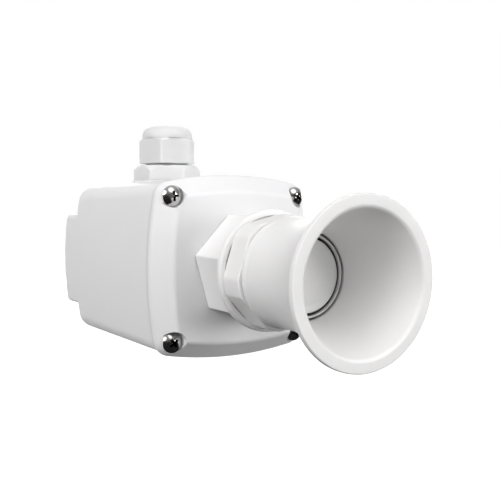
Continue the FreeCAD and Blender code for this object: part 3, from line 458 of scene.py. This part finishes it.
def painted_seam_group():
    """A soft mask about a station along Y, where the box meets the lid, for the shade painted along the seam.
    """
    found = bpy.data.node_groups.get("seam_band")
    if found:
        return found
    tree, start, end = new_group("seam_band", (("Station", 0.0), ("Reach", 0.003)), ("Mask",))
    place = add_node(tree, "ShaderNodeTexCoord", (-600, -220))
    axes = add_node(tree, "ShaderNodeSeparateXYZ", (-400, -220))
    away = add_node(tree, "ShaderNodeMath", (-200, -60), operation="SUBTRACT")
    either = add_node(tree, "ShaderNodeMath", (0, -60), operation="ABSOLUTE")
    fade = add_node(tree, "ShaderNodeMapRange", (200, 0), interpolation_type="SMOOTHSTEP")
    fade.inputs["To Min"].default_value = 1.0
    fade.inputs["To Max"].default_value = 0.0
    tree.links.new(place.outputs["Object"], axes.inputs[0])
    tree.links.new(axes.outputs["Y"], away.inputs[0])
    tree.links.new(start.outputs["Station"], away.inputs[1])
    tree.links.new(away.outputs[0], either.inputs[0])
    tree.links.new(either.outputs[0], fade.inputs["Value"])
    tree.links.new(start.outputs["Reach"], fade.inputs["From Max"])
    tree.links.new(fade.outputs["Result"], end.inputs["Mask"])
    return tree


def paint_seam_shade(tree, tone, surface):
    """Paints shade into the box's colour in a soft line along the lid, where the lid's overhang shades the
    box.
    """
    band = add_node(tree, "ShaderNodeGroup", (-400, 300), node_tree=painted_seam_group())
    band.inputs["Station"].default_value = HOUSING_FRONT + SEAM_BEHIND
    band.inputs["Reach"].default_value = SEAM_REACH
    shade = add_node(tree, "ShaderNodeMix", (150, 300), data_type="RGBA", blend_type="MULTIPLY")
    shade.inputs[MIX_B].default_value = (SEAM_SHADE, SEAM_SHADE, SEAM_SHADE, 1.0)
    tree.links.new(band.outputs["Mask"], shade.inputs["Factor"])
    tree.links.new(tone.outputs[MIX_RESULT], shade.inputs[MIX_A])
    tree.links.new(shade.outputs[MIX_RESULT], surface.inputs["Base Color"])


def painted_hollow_group():
    """The share of its colour that a hollow keeps under painted shade: 1 where clear, down to the darkest
    where shut in.
    """
    found = bpy.data.node_groups.get("hollow_shade")
    if found:
        return found
    inputs = (("Open", 1.0), ("Shut", 0.3), ("Clear", 0.9), ("Darkest", 0.3))
    tree, start, end = new_group("hollow_shade", inputs, ("Share",))
    fade = add_node(tree, "ShaderNodeMapRange", (0, 0))
    ends = (("Open", "Value"), ("Shut", "From Min"), ("Clear", "From Max"), ("Darkest", "To Min"))
    for label, socket in ends:
        tree.links.new(start.outputs[label], fade.inputs[socket])
    tree.links.new(fade.outputs["Result"], end.inputs["Share"])
    return tree


def paint_hollow_shade(tree, tone, surface, alone, reach, shut, clear, darkest):
    """Paints shade into the colour of what lies in hollows, of the piece alone or between pieces too."""
    deep = add_node(tree, "ShaderNodeAmbientOcclusion", (-400, 420), samples=HOLLOW_SAMPLES,
                    only_local=alone)
    deep.inputs["Distance"].default_value = reach * MM
    share = add_node(tree, "ShaderNodeGroup", (-150, 420), node_tree=painted_hollow_group())
    share.inputs["Shut"].default_value = shut
    share.inputs["Clear"].default_value = clear
    share.inputs["Darkest"].default_value = darkest
    shade = add_node(tree, "ShaderNodeMix", (150, 300), data_type="RGBA", blend_type="MULTIPLY")
    shade.inputs["Factor"].default_value = 1.0
    tree.links.new(deep.outputs["AO"], share.inputs["Open"])
    tree.links.new(tone.outputs[MIX_RESULT], shade.inputs[MIX_A])
    tree.links.new(share.outputs["Share"], shade.inputs[MIX_B])
    tree.links.new(shade.outputs[MIX_RESULT], surface.inputs["Base Color"])


def finish(slot):
    """The finish of a material slot: colour and gloss drift a little, the surface has a fine grain, and some
    slots get painted shade.
    """
    found = bpy.data.materials.get(slot + "_finish")
    if found:
        return found
    key, darker, gloss, dull, grain, patch, depth, metal = FINISHES[slot]
    base = getattr(bpy.context.scene.transmitter_colours, key)
    material = bpy.data.materials.new(slot + "_finish")
    material.use_nodes = True
    tree = material.node_tree
    tree.nodes.clear()
    out = add_node(tree, "ShaderNodeOutputMaterial", (600, 0))
    surface = add_node(tree, "ShaderNodeBsdfPrincipled", (300, 0))
    tree.links.new(surface.outputs[0], out.inputs["Surface"])
    surface.inputs["Metallic"].default_value = metal
    surface.inputs["Specular IOR Level"].default_value = METAL_SPECULAR if metal else PLASTIC_SPECULAR
    texture = add_node(tree, "ShaderNodeGroup", (-400, 0), node_tree=grain_group())
    texture.inputs["Grain"].default_value = grain
    texture.inputs["Patch"].default_value = patch
    tone = add_node(tree, "ShaderNodeMix", (0, 200), data_type="RGBA")
    tone.inputs[MIX_A].default_value = [channel * darker for channel in base[:3]] + [1.0]
    tone.inputs[MIX_B].default_value = base
    tree.links.new(texture.outputs["Tone"], tone.inputs["Factor"])
    # painted shade: along the box's seam, and in the hollows of the slots listed for it
    if slot == "box_plastic":
        paint_seam_shade(tree, tone, surface)
    elif slot in PAINTED_HOLLOW_SHADE:
        paint_hollow_shade(tree, tone, surface, *PAINTED_HOLLOW_SHADE[slot])
    else:
        tree.links.new(tone.outputs[MIX_RESULT], surface.inputs["Base Color"])
    if slot == "gland_plastic":
        surface.inputs["Subsurface Weight"].default_value = 1.0
        surface.inputs["Subsurface Radius"].default_value = (1.0, 1.0, 1.0)
        surface.inputs["Subsurface Scale"].default_value = MILKY_REACH
    shine = add_node(tree, "ShaderNodeMapRange", (0, -60))
    shine.inputs["From Min"].default_value = GLOSS_FROM
    shine.inputs["From Max"].default_value = GLOSS_TO
    shine.inputs["To Min"].default_value = gloss
    shine.inputs["To Max"].default_value = dull
    tree.links.new(texture.outputs["Gloss"], shine.inputs["Value"])
    tree.links.new(shine.outputs["Result"], surface.inputs["Roughness"])
    bump = add_node(tree, "ShaderNodeBump", (0, -320))
    bump.inputs["Strength"].default_value = BUMP_STRENGTH
    bump.inputs["Distance"].default_value = depth * MM
    tree.links.new(texture.outputs["Height"], bump.inputs["Height"])
    tree.links.new(bump.outputs["Normal"], surface.inputs["Normal"])
    return material


class TRANSMITTER_OT_finish_solids(bpy.types.Operator):
    """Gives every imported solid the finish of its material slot"""
    bl_idname = "transmitter.finish_solids"
    bl_label = "Finish the solids"

    def execute(self, context):
        for row in frame["record"]["subparts"]:
            solid = frame["nodes"][row["node"]]
            solid.data.materials.clear()
            solid.data.materials.append(finish(row["material_slot"]))
        return {"FINISHED"}


class TRANSMITTER_OT_horn(bpy.types.Operator):
    """Turns the horn: a socket with a bead, an outside flare, a thick soft rim and a cone inside"""
    bl_idname = "transmitter.horn"
    bl_label = "Horn"

    FLARE_STEPS = 28
    REAR_ROUND = 0.6 * MM
    BEAD_ROUND = 3.0 * MM
    THROAT_ROUND = 0.4 * MM

    def execute(self, context):
        s = context.scene.transmitter_sizes
        length = HORN_HIGH.y - HORN_LOW.y
        flare_end = length - s.horn_rim_edge
        flare_start = flare_end - s.horn_flare
        throat = length - s.horn_cone
        bead_foot = s.horn_bead_end + s.horn_bead_run
        spread = s.horn_rim - s.horn_socket
        shares = [step / self.FLARE_STEPS for step in range(self.FLARE_STEPS + 1)]
        flare = [(s.horn_socket + spread * share ** 2, flare_start + s.horn_flare * share)
                 for share in shares]
        corners = [
            (s.horn_thread, 0.0), (s.horn_bead, 0.0), (s.horn_bead, s.horn_bead_end),
            (s.horn_socket, bead_foot), *flare,
            (s.horn_rim, length), (s.horn_mouth, length), (s.horn_throat, throat),
            (s.horn_throat, s.horn_thread_length), (s.horn_thread, s.horn_thread_length)]
        rounds = [
            (s.horn_bead, 0.0, self.REAR_ROUND), (s.horn_bead, s.horn_bead_end, self.BEAD_ROUND),
            (s.horn_socket, bead_foot, self.BEAD_ROUND),
            (s.horn_rim, flare_end, s.horn_rim_soft), (s.horn_rim, length, s.horn_rim_soft),
            (s.horn_mouth, length, s.horn_rim_round), (s.horn_throat, throat, self.THROAT_ROUND)]
        horn = turned("horn_bell", corners, rounds=rounds)
        face_front(horn, HORN_HIGH.y)
        smooth(horn)
        finish_piece(horn, "horn", "transmitter", "sensor_plastic")
        return {"FINISHED"}


class TRANSMITTER_OT_sensor_nuts(bpy.types.Operator):
    """Models the long clamp nut with its hollow round collar, and the jam nut that stands in the collar"""
    bl_idname = "transmitter.sensor_nuts"
    bl_label = "Sensor nuts"

    # how far the jam nut's hexagon reaches behind the collar's front
    JAM_OVERLAP = 1.2 * MM
    # how far inside the flats the cone ends on the jam nut's front
    JAM_INSIDE = 0.35 * MM
    JAM_SLOPE = math.radians(6.0)
    BOSS_SUNK = 1.0 * MM

    def execute(self, context):
        s = context.scene.transmitter_sizes
        self.clamp_nut(s)
        self.jam_nut(s)
        return {"FINISHED"}

    @staticmethod
    def clamp_nut(s):
        """The hexagon on the lid, and the collar turned onto its front."""
        length = CLAMP_HIGH.y - CLAMP_LOW.y
        back = length - s.collar_length
        floor = length - s.collar_sink
        outer = (CLAMP_HIGH.x - CLAMP_LOW.x) / 2
        inner = outer - s.collar_wall
        hex_end = (back + floor) / 2
        nut = hex_bar("clamp_nut_hex", s.clamp_across, -SPARE, length)
        blank = [(s.nut_bore, 0.0), (outer, 0.0), (outer, hex_end), (s.nut_bore, hex_end)]
        carve(nut, turned("blank", blank, steps=HEX_STEPS), "INTERSECT")
        soften(nut, s.nut_soft)
        corners = [
            (s.nut_bore, back), (outer, back), (outer, length),
            (inner, length), (inner, floor), (s.nut_bore, floor)]
        rounds = [
            (outer, back, s.collar_soft), (outer, length, s.collar_round), (inner, length, s.collar_soft)]
        collar = turned("collar", corners, rounds=rounds)
        smooth(collar)
        join(nut, collar)
        face_front(nut, CLAMP_HIGH.y, s.clamp_turn)
        finish_piece(nut, "clamp_nut", "transmitter", "sensor_plastic")

    def jam_nut(self, s):
        """The hexagon with corners turned round, and the boss behind it."""
        rear = CLAMP_LOW.y + self.JAM_OVERLAP
        length = rear - JAM_LOW.y
        nut = hex_bar("jam_nut_hex", s.jam_across, -SPARE, length + SPARE)
        flat = s.jam_across / 2 - self.JAM_INSIDE
        carve(nut, nut_blank(s.nut_bore, flat, s.jam_turned, length, self.JAM_SLOPE), "INTERSECT")
        soften(nut, s.nut_soft)
        foot = rear - JAM_HIGH.y
        boss = turned("boss", [
            (s.nut_bore, foot), (s.jam_boss, foot),
            (s.jam_boss, self.BOSS_SUNK), (s.nut_bore, self.BOSS_SUNK)])
        smooth(boss)
        join(nut, boss)
        face_front(nut, rear, s.jam_turn)
        finish_piece(nut, "jam_nut", "transmitter", "sensor_plastic")


class TRANSMITTER_OT_gland(bpy.types.Operator):
    """Models the cable gland's body with its threads and the domed nut that turns on it"""
    bl_idname = "transmitter.gland"
    bl_label = "Cable gland"

    BODY_INSIDE = 0.3 * MM
    BODY_SLOPE = math.radians(45.0)
    # how far the hexagon reaches in over the threaded core
    CORE_LAP = 1.0 * MM
    # the ledge in the neck that the sealing sleeve stands on
    LEDGE_WIDTH = 1.2 * MM
    LEDGE_RISE = 3.5 * MM
    NUT_SLOPE = math.radians(30.0)
    DOME_INSIDE = 0.15 * MM
    THREAD_PLAY = 0.06 * MM
    THREAD_TOP = 7.5 * MM
    MOUTH_DEPTH = 2.4 * MM
    MOUTH_ROUND = 0.5 * MM

    def execute(self, context):
        s = context.scene.transmitter_sizes
        self.body(s)
        self.nut(s)
        return {"FINISHED"}

    def body(self, s):
        """The hexagon that stands on the box, and the threaded core through it."""
        foot = GLAND_NUT_LOW.z - s.gland_gap - s.gland_hex
        body = hex_bar("gland_body_hex", s.gland_across, -SPARE, s.gland_hex + SPARE)
        flat = s.gland_across / 2 - self.BODY_INSIDE
        outer = s.gland_across * PAST_CORNERS
        blank = nut_blank(s.gland_thread - self.CORE_LAP, flat, outer, s.gland_hex, self.BODY_SLOPE)
        carve(body, blank, "INTERSECT")
        soften(body, s.gland_soft)
        neck_top = s.gland_hex + s.gland_neck
        ledge = s.gland_hex + self.LEDGE_RISE
        narrow = s.gland_bore - self.LEDGE_WIDTH
        core = turned("core", [
            (narrow, -s.gland_thread_below), (s.gland_thread, -s.gland_thread_below),
            (s.gland_thread, neck_top), (s.gland_bore, neck_top),
            (s.gland_bore, ledge), (narrow, ledge)], steps=HEX_STEPS)
        smooth(core)
        join(body, core)
        stand_on_gland(body, foot, s.gland_turn)
        finish_piece(body, "gland_body", "transmitter", "gland_plastic")

    def nut(self, s):
        """The nut that turns: a hexagon below a dome, open through its top."""
        height = GLAND_NUT_HIGH.z - GLAND_NUT_LOW.z
        outer = s.gland_nut_across * PAST_CORNERS
        dome = s.gland_nut_across / 2 - self.DOME_INSIDE
        hex_top = s.gland_nut_hex - (outer - dome) * math.tan(self.NUT_SLOPE)
        thread = s.gland_thread + self.THREAD_PLAY
        mouth = s.gland_nut_mouth
        corners = [
            (thread, 0.0), (outer, 0.0), (outer, hex_top), (dome, s.gland_nut_hex), (dome, height),
            (mouth, height), (mouth, height - self.MOUTH_DEPTH), (thread, self.THREAD_TOP)]
        rounds = [(dome, height, s.gland_nut_dome), (mouth, height, self.MOUTH_ROUND)]
        nut = hex_bar("gland_nut_dome", s.gland_nut_across, -SPARE, height + SPARE)
        carve(nut, turned("blank", corners, steps=HEX_STEPS, rounds=rounds), "INTERSECT")
        soften(nut, s.gland_soft)
        stand_on_gland(nut, GLAND_NUT_LOW.z, s.gland_nut_turn)
        finish_piece(nut, "gland_nut", "gland_cap", "gland_plastic")


class TRANSMITTER_OT_lid_screws(bpy.types.Operator):
    """Models one plated pan-head screw with a tapered cross recess and copies it to the lid's corners"""
    bl_idname = "transmitter.lid_screws"
    bl_label = "Lid screws"

    # where each screw stopped, in degrees
    TURNS = (38.0, 6.0, 20.0, 62.0)
    TIP_SHARE = 0.8
    TIP_LENGTH = 0.5 * MM
    # a point on the head's crown, as shares of its radius and of its rise
    CROWN_OUT = 0.62
    CROWN_UP = 0.70
    CROWN_POINTS = 12
    SEAT_ROUND = 0.2 * MM
    EDGE_ROUND = 0.5 * MM
    CRISP_LIMIT = math.radians(35.0)
    CUT_ABOVE = 1.0 * MM
    RECESS_TAPER = 0.5

    def execute(self, context):
        s = context.scene.transmitter_sizes
        seat = SCREW_LOW.y + s.screw_head_height
        length = SCREW_HIGH.y - seat
        crown = s.screw_head_height
        top = (0.0, crown)
        edge = (s.screw_head, s.screw_edge)
        middle = (s.screw_head * self.CROWN_OUT, s.screw_edge + (crown - s.screw_edge) * self.CROWN_UP)
        corners = [
            (0.0, -length), (s.screw_shank * self.TIP_SHARE, -length),
            (s.screw_shank, -length + self.TIP_LENGTH), (s.screw_shank, 0.0), (s.screw_head, 0.0), edge,
            *arc(edge, middle, top, self.CROWN_POINTS), top]
        rounds = [(s.screw_head, 0.0, self.SEAT_ROUND), (*edge, self.EDGE_ROUND)]
        screw = turned("lid_screw", corners, closed=False, steps=HEX_STEPS, rounds=rounds)
        carve(screw, self.cross_cutter(s, crown), "DIFFERENCE")
        smooth(screw, self.CRISP_LIMIT)
        low_x, high_x = SCREW_LOW.x + s.screw_head, SCREW_HIGH.x - s.screw_head
        low_z, high_z = SCREW_LOW.z + s.screw_head, SCREW_HIGH.z - s.screw_head
        places = ((low_x, low_z), (low_x, high_z), (high_x, low_z), (high_x, high_z))
        for index, ((x, z), turn) in enumerate(zip(places, self.TURNS)):
            take(screw)
            bpy.ops.object.duplicate()
            copy = bpy.context.object
            copy.name = f"lid_screw_{index + 1}"
            copy.rotation_euler = (math.pi / 2, -math.radians(turn), 0.0)
            copy.location = (x, seat, z)
            settle(copy)
            finish_piece(copy, "lid_screws", "transmitter", "plated_steel")
        bpy.data.objects.remove(screw)
        return {"FINISHED"}

    def cross_cutter(self, s, crown):
        """The tapered cross that sinks the recess: two bars, narrower and shorter at the bottom."""
        middle = crown - s.recess_depth / 2
        bars = []
        for sizes in ((s.recess_length, s.recess_width), (s.recess_width, s.recess_length)):
            deselect()
            bpy.ops.mesh.primitive_cube_add(size=1.0, location=(0, 0, middle + self.CUT_ABOVE / 2))
            bar = bpy.context.object
            bar.scale = (*sizes, s.recess_depth + self.CUT_ABOVE)
            settle(bar)
            edit(bar)
            pick(bar, lambda co: co.z < middle)
            taper = (self.RECESS_TAPER, self.RECESS_TAPER, 1.0)
            bpy.ops.transform.resize(value=taper, center_override=(0, 0, crown))
            deselect()
            bars.append(bar)
        carve(bars[0], bars[1], "UNION")
        return bars[0]


class TRANSMITTER_OT_sensor_face(bpy.types.Operator):
    """Turns the transducer with a soft lip round its faintly crowned face"""
    bl_idname = "transmitter.sensor_face"
    bl_label = "Transducer face"

    # depths of the crowned face half way out and at its middle, as shares of the hollow
    HALF_WAY = 0.8
    MIDDLE = 0.7
    FACE_POINTS = 14
    EDGE_ROUND = 0.4 * MM
    LIP_ROUND = 2.5 * MM

    def execute(self, context):
        s = context.scene.transmitter_sizes
        length = PUCK_HIGH.y - PUCK_LOW.y
        edge = (s.puck_radius, length)
        level = s.puck_lip / 3
        brow = (s.puck_radius - level, length)
        foot = (s.puck_radius - s.puck_lip, length - s.puck_hollow)
        half = (foot[0] / 2, length - s.puck_hollow * self.HALF_WAY)
        top = (0.0, length - s.puck_hollow * self.MIDDLE)
        corners = [
            (0.0, 0.0), (s.puck_radius, 0.0), edge, brow, foot, *arc(foot, half, top, self.FACE_POINTS), top]
        rounds = [(*edge, self.EDGE_ROUND), (*brow, self.LIP_ROUND), (*foot, self.LIP_ROUND)]
        puck = turned("transducer_face", corners, closed=False, rounds=rounds)
        face_front(puck, PUCK_HIGH.y)
        smooth(puck)
        finish_piece(puck, "transducer", "transmitter", "transducer_face")
        return {"FINISHED"}


class TRANSMITTER_OT_stage(bpy.types.Operator):
    """Sets up the floor, the soft light and the camera"""
    bl_idname = "transmitter.stage"
    bl_label = "Stage"

    CAMERA_PLACE = (-0.184079, -0.409115, 0.029279)
    CAMERA_YAW = 32.435
    CAMERA_PITCH = 3.659
    CAMERA_ROLL = 0.381
    CAMERA_LENS = 60.445
    CAMERA_SENSOR = 36.0
    CAMERA_NEAR = 0.01
    WHITE = (1.0, 1.0, 1.0, 1.0)
    SKY = 0.02
    FLOOR_Z = -0.14
    FLOOR_SIZE = 6.0
    PAPER = (0.35, 0.35, 0.35, 1.0)
    SHADE = (0.16, 0.16, 0.16, 1.0)
    # distances along the floor, and how much the paper glows up to the first and from the second
    GLOW_SPAN = (0.2, 0.9)
    GLOW = (0.9, 1.0)
    CARD_FAR = 2.2
    CARD_LIFT = 5.0 * MM
    # the cards' glow at the floor and at the dome's top: painted reflection, seen only in gloss
    CARD_DARK = 0.02
    CARD_PALE = 0.6
    DOME_SEGMENTS = 48
    DOME_RINGS = 24
    LAMP_AIM = Vector((0.0, -0.1, 0.0))
    LAMP_FAR = 1.4
    # lamps from this width on leave no glint
    WIDE_LAMP = 1.2
    LAMPS = (
        # name, degrees round from the front towards +X, degrees up, width, watts
        ("left", -82, 24, 0.8, 10.4),
        ("left_up", -62, 28, 0.8, 4.6),
        ("front_right", 34, 5, 0.8, 11.4),
        ("front_left", -40, 8, 1.6, 3.6),
        ("top_front", -12, 60, 1.8, 7.6),
        ("top_glint", 8, 48, 1.1, 4.8),
        ("right", 100, 6, 0.8, 4.0),
        ("rear_right", 155, 5, 0.8, 12.0),
    )

    def execute(self, context):
        self.floor()
        self.dark_cards()
        self.world(context)
        for row in self.LAMPS:
            self.lamp(context, *row)
        self.camera(context)
        context.scene.view_settings.view_transform = "Standard"
        return {"FINISHED"}

    def floor(self):
        """A floor that the camera sees as glowing paper, and that reflects other light as a grey sheet."""
        deselect()
        bpy.ops.mesh.primitive_plane_add(size=self.FLOOR_SIZE, location=(0, 0, self.FLOOR_Z))
        floor = bpy.context.object
        floor.name = "floor"
        material = bpy.data.materials.new("floor_paper")
        material.use_nodes = True
        tree = material.node_tree
        tree.nodes.clear()
        out = add_node(tree, "ShaderNodeOutputMaterial", (600, 0))
        mix = add_node(tree, "ShaderNodeMixShader", (400, 0))
        seen = self.seen(tree)
        pale = add_node(tree, "ShaderNodeAddShader", (200, -100))
        paper = add_node(tree, "ShaderNodeBsdfDiffuse", (0, -60))
        paper.inputs["Color"].default_value = self.PAPER
        glow = add_node(tree, "ShaderNodeEmission", (0, -220))
        place = add_node(tree, "ShaderNodeTexCoord", (-600, -220))
        away = add_node(tree, "ShaderNodeVectorMath", (-400, -220), operation="LENGTH")
        fade = add_node(tree, "ShaderNodeMapRange", (-200, -220))
        fade.inputs["From Min"].default_value, fade.inputs["From Max"].default_value = self.GLOW_SPAN
        fade.inputs["To Min"].default_value, fade.inputs["To Max"].default_value = self.GLOW
        tree.links.new(place.outputs["Object"], away.inputs[0])
        tree.links.new(away.outputs["Value"], fade.inputs["Value"])
        tree.links.new(fade.outputs["Result"], glow.inputs["Strength"])
        shade = add_node(tree, "ShaderNodeBsdfDiffuse", (200, 120))
        shade.inputs["Color"].default_value = self.SHADE
        tree.links.new(paper.outputs[0], pale.inputs[0])
        tree.links.new(glow.outputs[0], pale.inputs[1])
        tree.links.new(seen, mix.inputs["Fac"])
        tree.links.new(shade.outputs[0], mix.inputs[1])
        tree.links.new(pale.outputs[0], mix.inputs[2])
        tree.links.new(mix.outputs[0], out.inputs["Surface"])
        floor.data.materials.append(material)

    def dark_cards(self):
        """A dark half dome behind the front lamps and a dark sheet on the floor: a painted reflection seen
        only in gloss.
        """
        deselect()
        bpy.ops.mesh.primitive_uv_sphere_add(segments=self.DOME_SEGMENTS, ring_count=self.DOME_RINGS,
                                             radius=self.CARD_FAR, location=(0, 0, 0))
        dome = bpy.context.object
        dome.name = "dark_dome"
        edit(dome)
        bpy.ops.mesh.select_all(action="SELECT")
        bpy.ops.mesh.bisect(plane_co=(0, 0, 0), plane_no=(0, 1, 0), clear_outer=True)
        deselect()
        place = (0, -self.CARD_FAR, self.FLOOR_Z + self.CARD_LIFT)
        bpy.ops.mesh.primitive_plane_add(size=2 * self.CARD_FAR, location=place)
        sheet = bpy.context.object
        sheet.name = "dark_sheet"
        material = bpy.data.materials.new("dark_card")
        material.use_nodes = True
        tree = material.node_tree
        tree.nodes.clear()
        out = add_node(tree, "ShaderNodeOutputMaterial", (300, 0))
        # the cards glow, dark low down and paler upwards, as a painted reflection
        card_glow = add_node(tree, "ShaderNodeEmission", (100, 0))
        spot = add_node(tree, "ShaderNodeTexCoord", (-500, 0))
        axes = add_node(tree, "ShaderNodeSeparateXYZ", (-300, 0))
        paler = add_node(tree, "ShaderNodeMapRange", (-100, 0))
        paler.inputs["From Min"].default_value = 0.0
        paler.inputs["From Max"].default_value = self.CARD_FAR
        paler.inputs["To Min"].default_value = self.CARD_DARK
        paler.inputs["To Max"].default_value = self.CARD_PALE
        tree.links.new(spot.outputs["Object"], axes.inputs[0])
        tree.links.new(axes.outputs["Z"], paler.inputs["Value"])
        tree.links.new(paler.outputs["Result"], card_glow.inputs["Strength"])
        tree.links.new(card_glow.outputs[0], out.inputs["Surface"])
        for card in (dome, sheet):
            card.data.materials.append(material)
            card.visible_camera = False
            card.visible_diffuse = False
            card.visible_transmission = False
            card.visible_volume_scatter = False
            card.visible_shadow = False

    @staticmethod
    def seen(tree):
        """1 for what the camera sees, straight or in gloss and glass, and 0 for other light."""
        path = add_node(tree, "ShaderNodeLightPath", (-400, 300))
        first = add_node(tree, "ShaderNodeMath", (-200, 300), operation="MAXIMUM")
        second = add_node(tree, "ShaderNodeMath", (0, 300), operation="MAXIMUM")
        tree.links.new(path.outputs["Is Camera Ray"], first.inputs[0])
        tree.links.new(path.outputs["Is Glossy Ray"], first.inputs[1])
        tree.links.new(first.outputs[0], second.inputs[0])
        tree.links.new(path.outputs["Is Transmission Ray"], second.inputs[1])
        return second.outputs[0]

    def world(self, context):
        """A white backdrop for what the camera sees, and a faint sky for other light."""
        world = bpy.data.worlds.new("studio")
        context.scene.world = world
        world.use_nodes = True
        tree = world.node_tree
        tree.nodes.clear()
        out = add_node(tree, "ShaderNodeOutputWorld", (600, 0))
        mix = add_node(tree, "ShaderNodeMixShader", (400, 0))
        backdrop = add_node(tree, "ShaderNodeBackground", (200, -100))
        sky = add_node(tree, "ShaderNodeBackground", (200, 100))
        sky.inputs["Strength"].default_value = self.SKY
        tree.links.new(self.seen(tree), mix.inputs["Fac"])
        tree.links.new(sky.outputs[0], mix.inputs[1])
        tree.links.new(backdrop.outputs[0], mix.inputs[2])
        for background in (sky, backdrop):
            background.inputs["Color"].default_value = self.WHITE
        tree.links.new(mix.outputs[0], out.inputs["Surface"])

    def lamp(self, context, name, round_front, up, width, watts):
        """A round area lamp that looks at the part."""
        data = bpy.data.lights.new(name, "AREA")
        data.shape = "DISK"
        data.size = width
        data.energy = watts
        lamp = bpy.data.objects.new(name, data)
        lamp.visible_glossy = width < self.WIDE_LAMP
        context.scene.collection.objects.link(lamp)
        turn, tilt = math.radians(round_front), math.radians(up)
        away = Vector((math.sin(turn) * math.cos(tilt), -math.cos(turn) * math.cos(tilt), math.sin(tilt)))
        lamp.location = self.LAMP_AIM + self.LAMP_FAR * away
        lamp.rotation_euler = (-away).to_track_quat("-Z", "Y").to_euler()

    def camera(self, context):
        """The camera that the photo was taken with, as fitted to the part."""
        yaw, pitch, roll = (math.radians(a) for a in (self.CAMERA_YAW, self.CAMERA_PITCH, self.CAMERA_ROLL))
        ahead = Vector((math.sin(yaw) * math.cos(pitch), math.cos(yaw) * math.cos(pitch), -math.sin(pitch)))
        right = Vector((math.cos(yaw), -math.sin(yaw), 0.0))
        up = right.cross(ahead)
        level = math.cos(roll) * right + math.sin(roll) * up
        upright = math.cos(roll) * up - math.sin(roll) * right
        data = bpy.data.cameras.new("camera")
        data.sensor_width = self.CAMERA_SENSOR
        data.sensor_fit = "HORIZONTAL"
        data.lens = self.CAMERA_LENS
        data.clip_start = self.CAMERA_NEAR
        camera = bpy.data.objects.new("camera", data)
        context.scene.collection.objects.link(camera)
        turn = Matrix((level, upright, -ahead)).transposed().to_4x4()
        camera.matrix_world = Matrix.Translation(self.CAMERA_PLACE) @ turn
        context.scene.camera = camera


OPERATORS = (
    TRANSMITTER_OT_finish_solids,
    TRANSMITTER_OT_horn,
    TRANSMITTER_OT_sensor_nuts,
    TRANSMITTER_OT_gland,
    TRANSMITTER_OT_lid_screws,
    TRANSMITTER_OT_sensor_face,
    TRANSMITTER_OT_stage,
)


class TRANSMITTER_PT_panel(bpy.types.Panel):
    """Lists the steps that build the transmitter's looks"""
    bl_idname = "TRANSMITTER_PT_panel"
    bl_label = "Level transmitter"
    bl_space_type = "VIEW_3D"
    bl_region_type = "UI"
    bl_category = "Transmitter"

    def draw(self, context):
        for step in OPERATORS:
            self.layout.operator(step.bl_idname)


CLASSES = (TransmitterSizes, TransmitterColours, *OPERATORS, TRANSMITTER_PT_panel)


def register():
    """Adds the classes and the scene's settings."""
    for item in CLASSES:
        bpy.utils.register_class(item)
    bpy.types.Scene.transmitter_sizes = bpy.props.PointerProperty(type=TransmitterSizes)
    bpy.types.Scene.transmitter_colours = bpy.props.PointerProperty(type=TransmitterColours)


def unregister():
    """Removes the settings and the classes."""
    del bpy.types.Scene.transmitter_colours
    del bpy.types.Scene.transmitter_sizes
    for item in reversed(CLASSES):
        bpy.utils.unregister_class(item)


def main():
    """Builds everything in order."""
    register()
    bpy.ops.transmitter.finish_solids()
    bpy.ops.transmitter.horn()
    bpy.ops.transmitter.sensor_nuts()
    bpy.ops.transmitter.gland()
    bpy.ops.transmitter.lid_screws()
    bpy.ops.transmitter.sensor_face()
    bpy.ops.transmitter.stage()
    deselect()


if __name__ == "__main__":
    main()
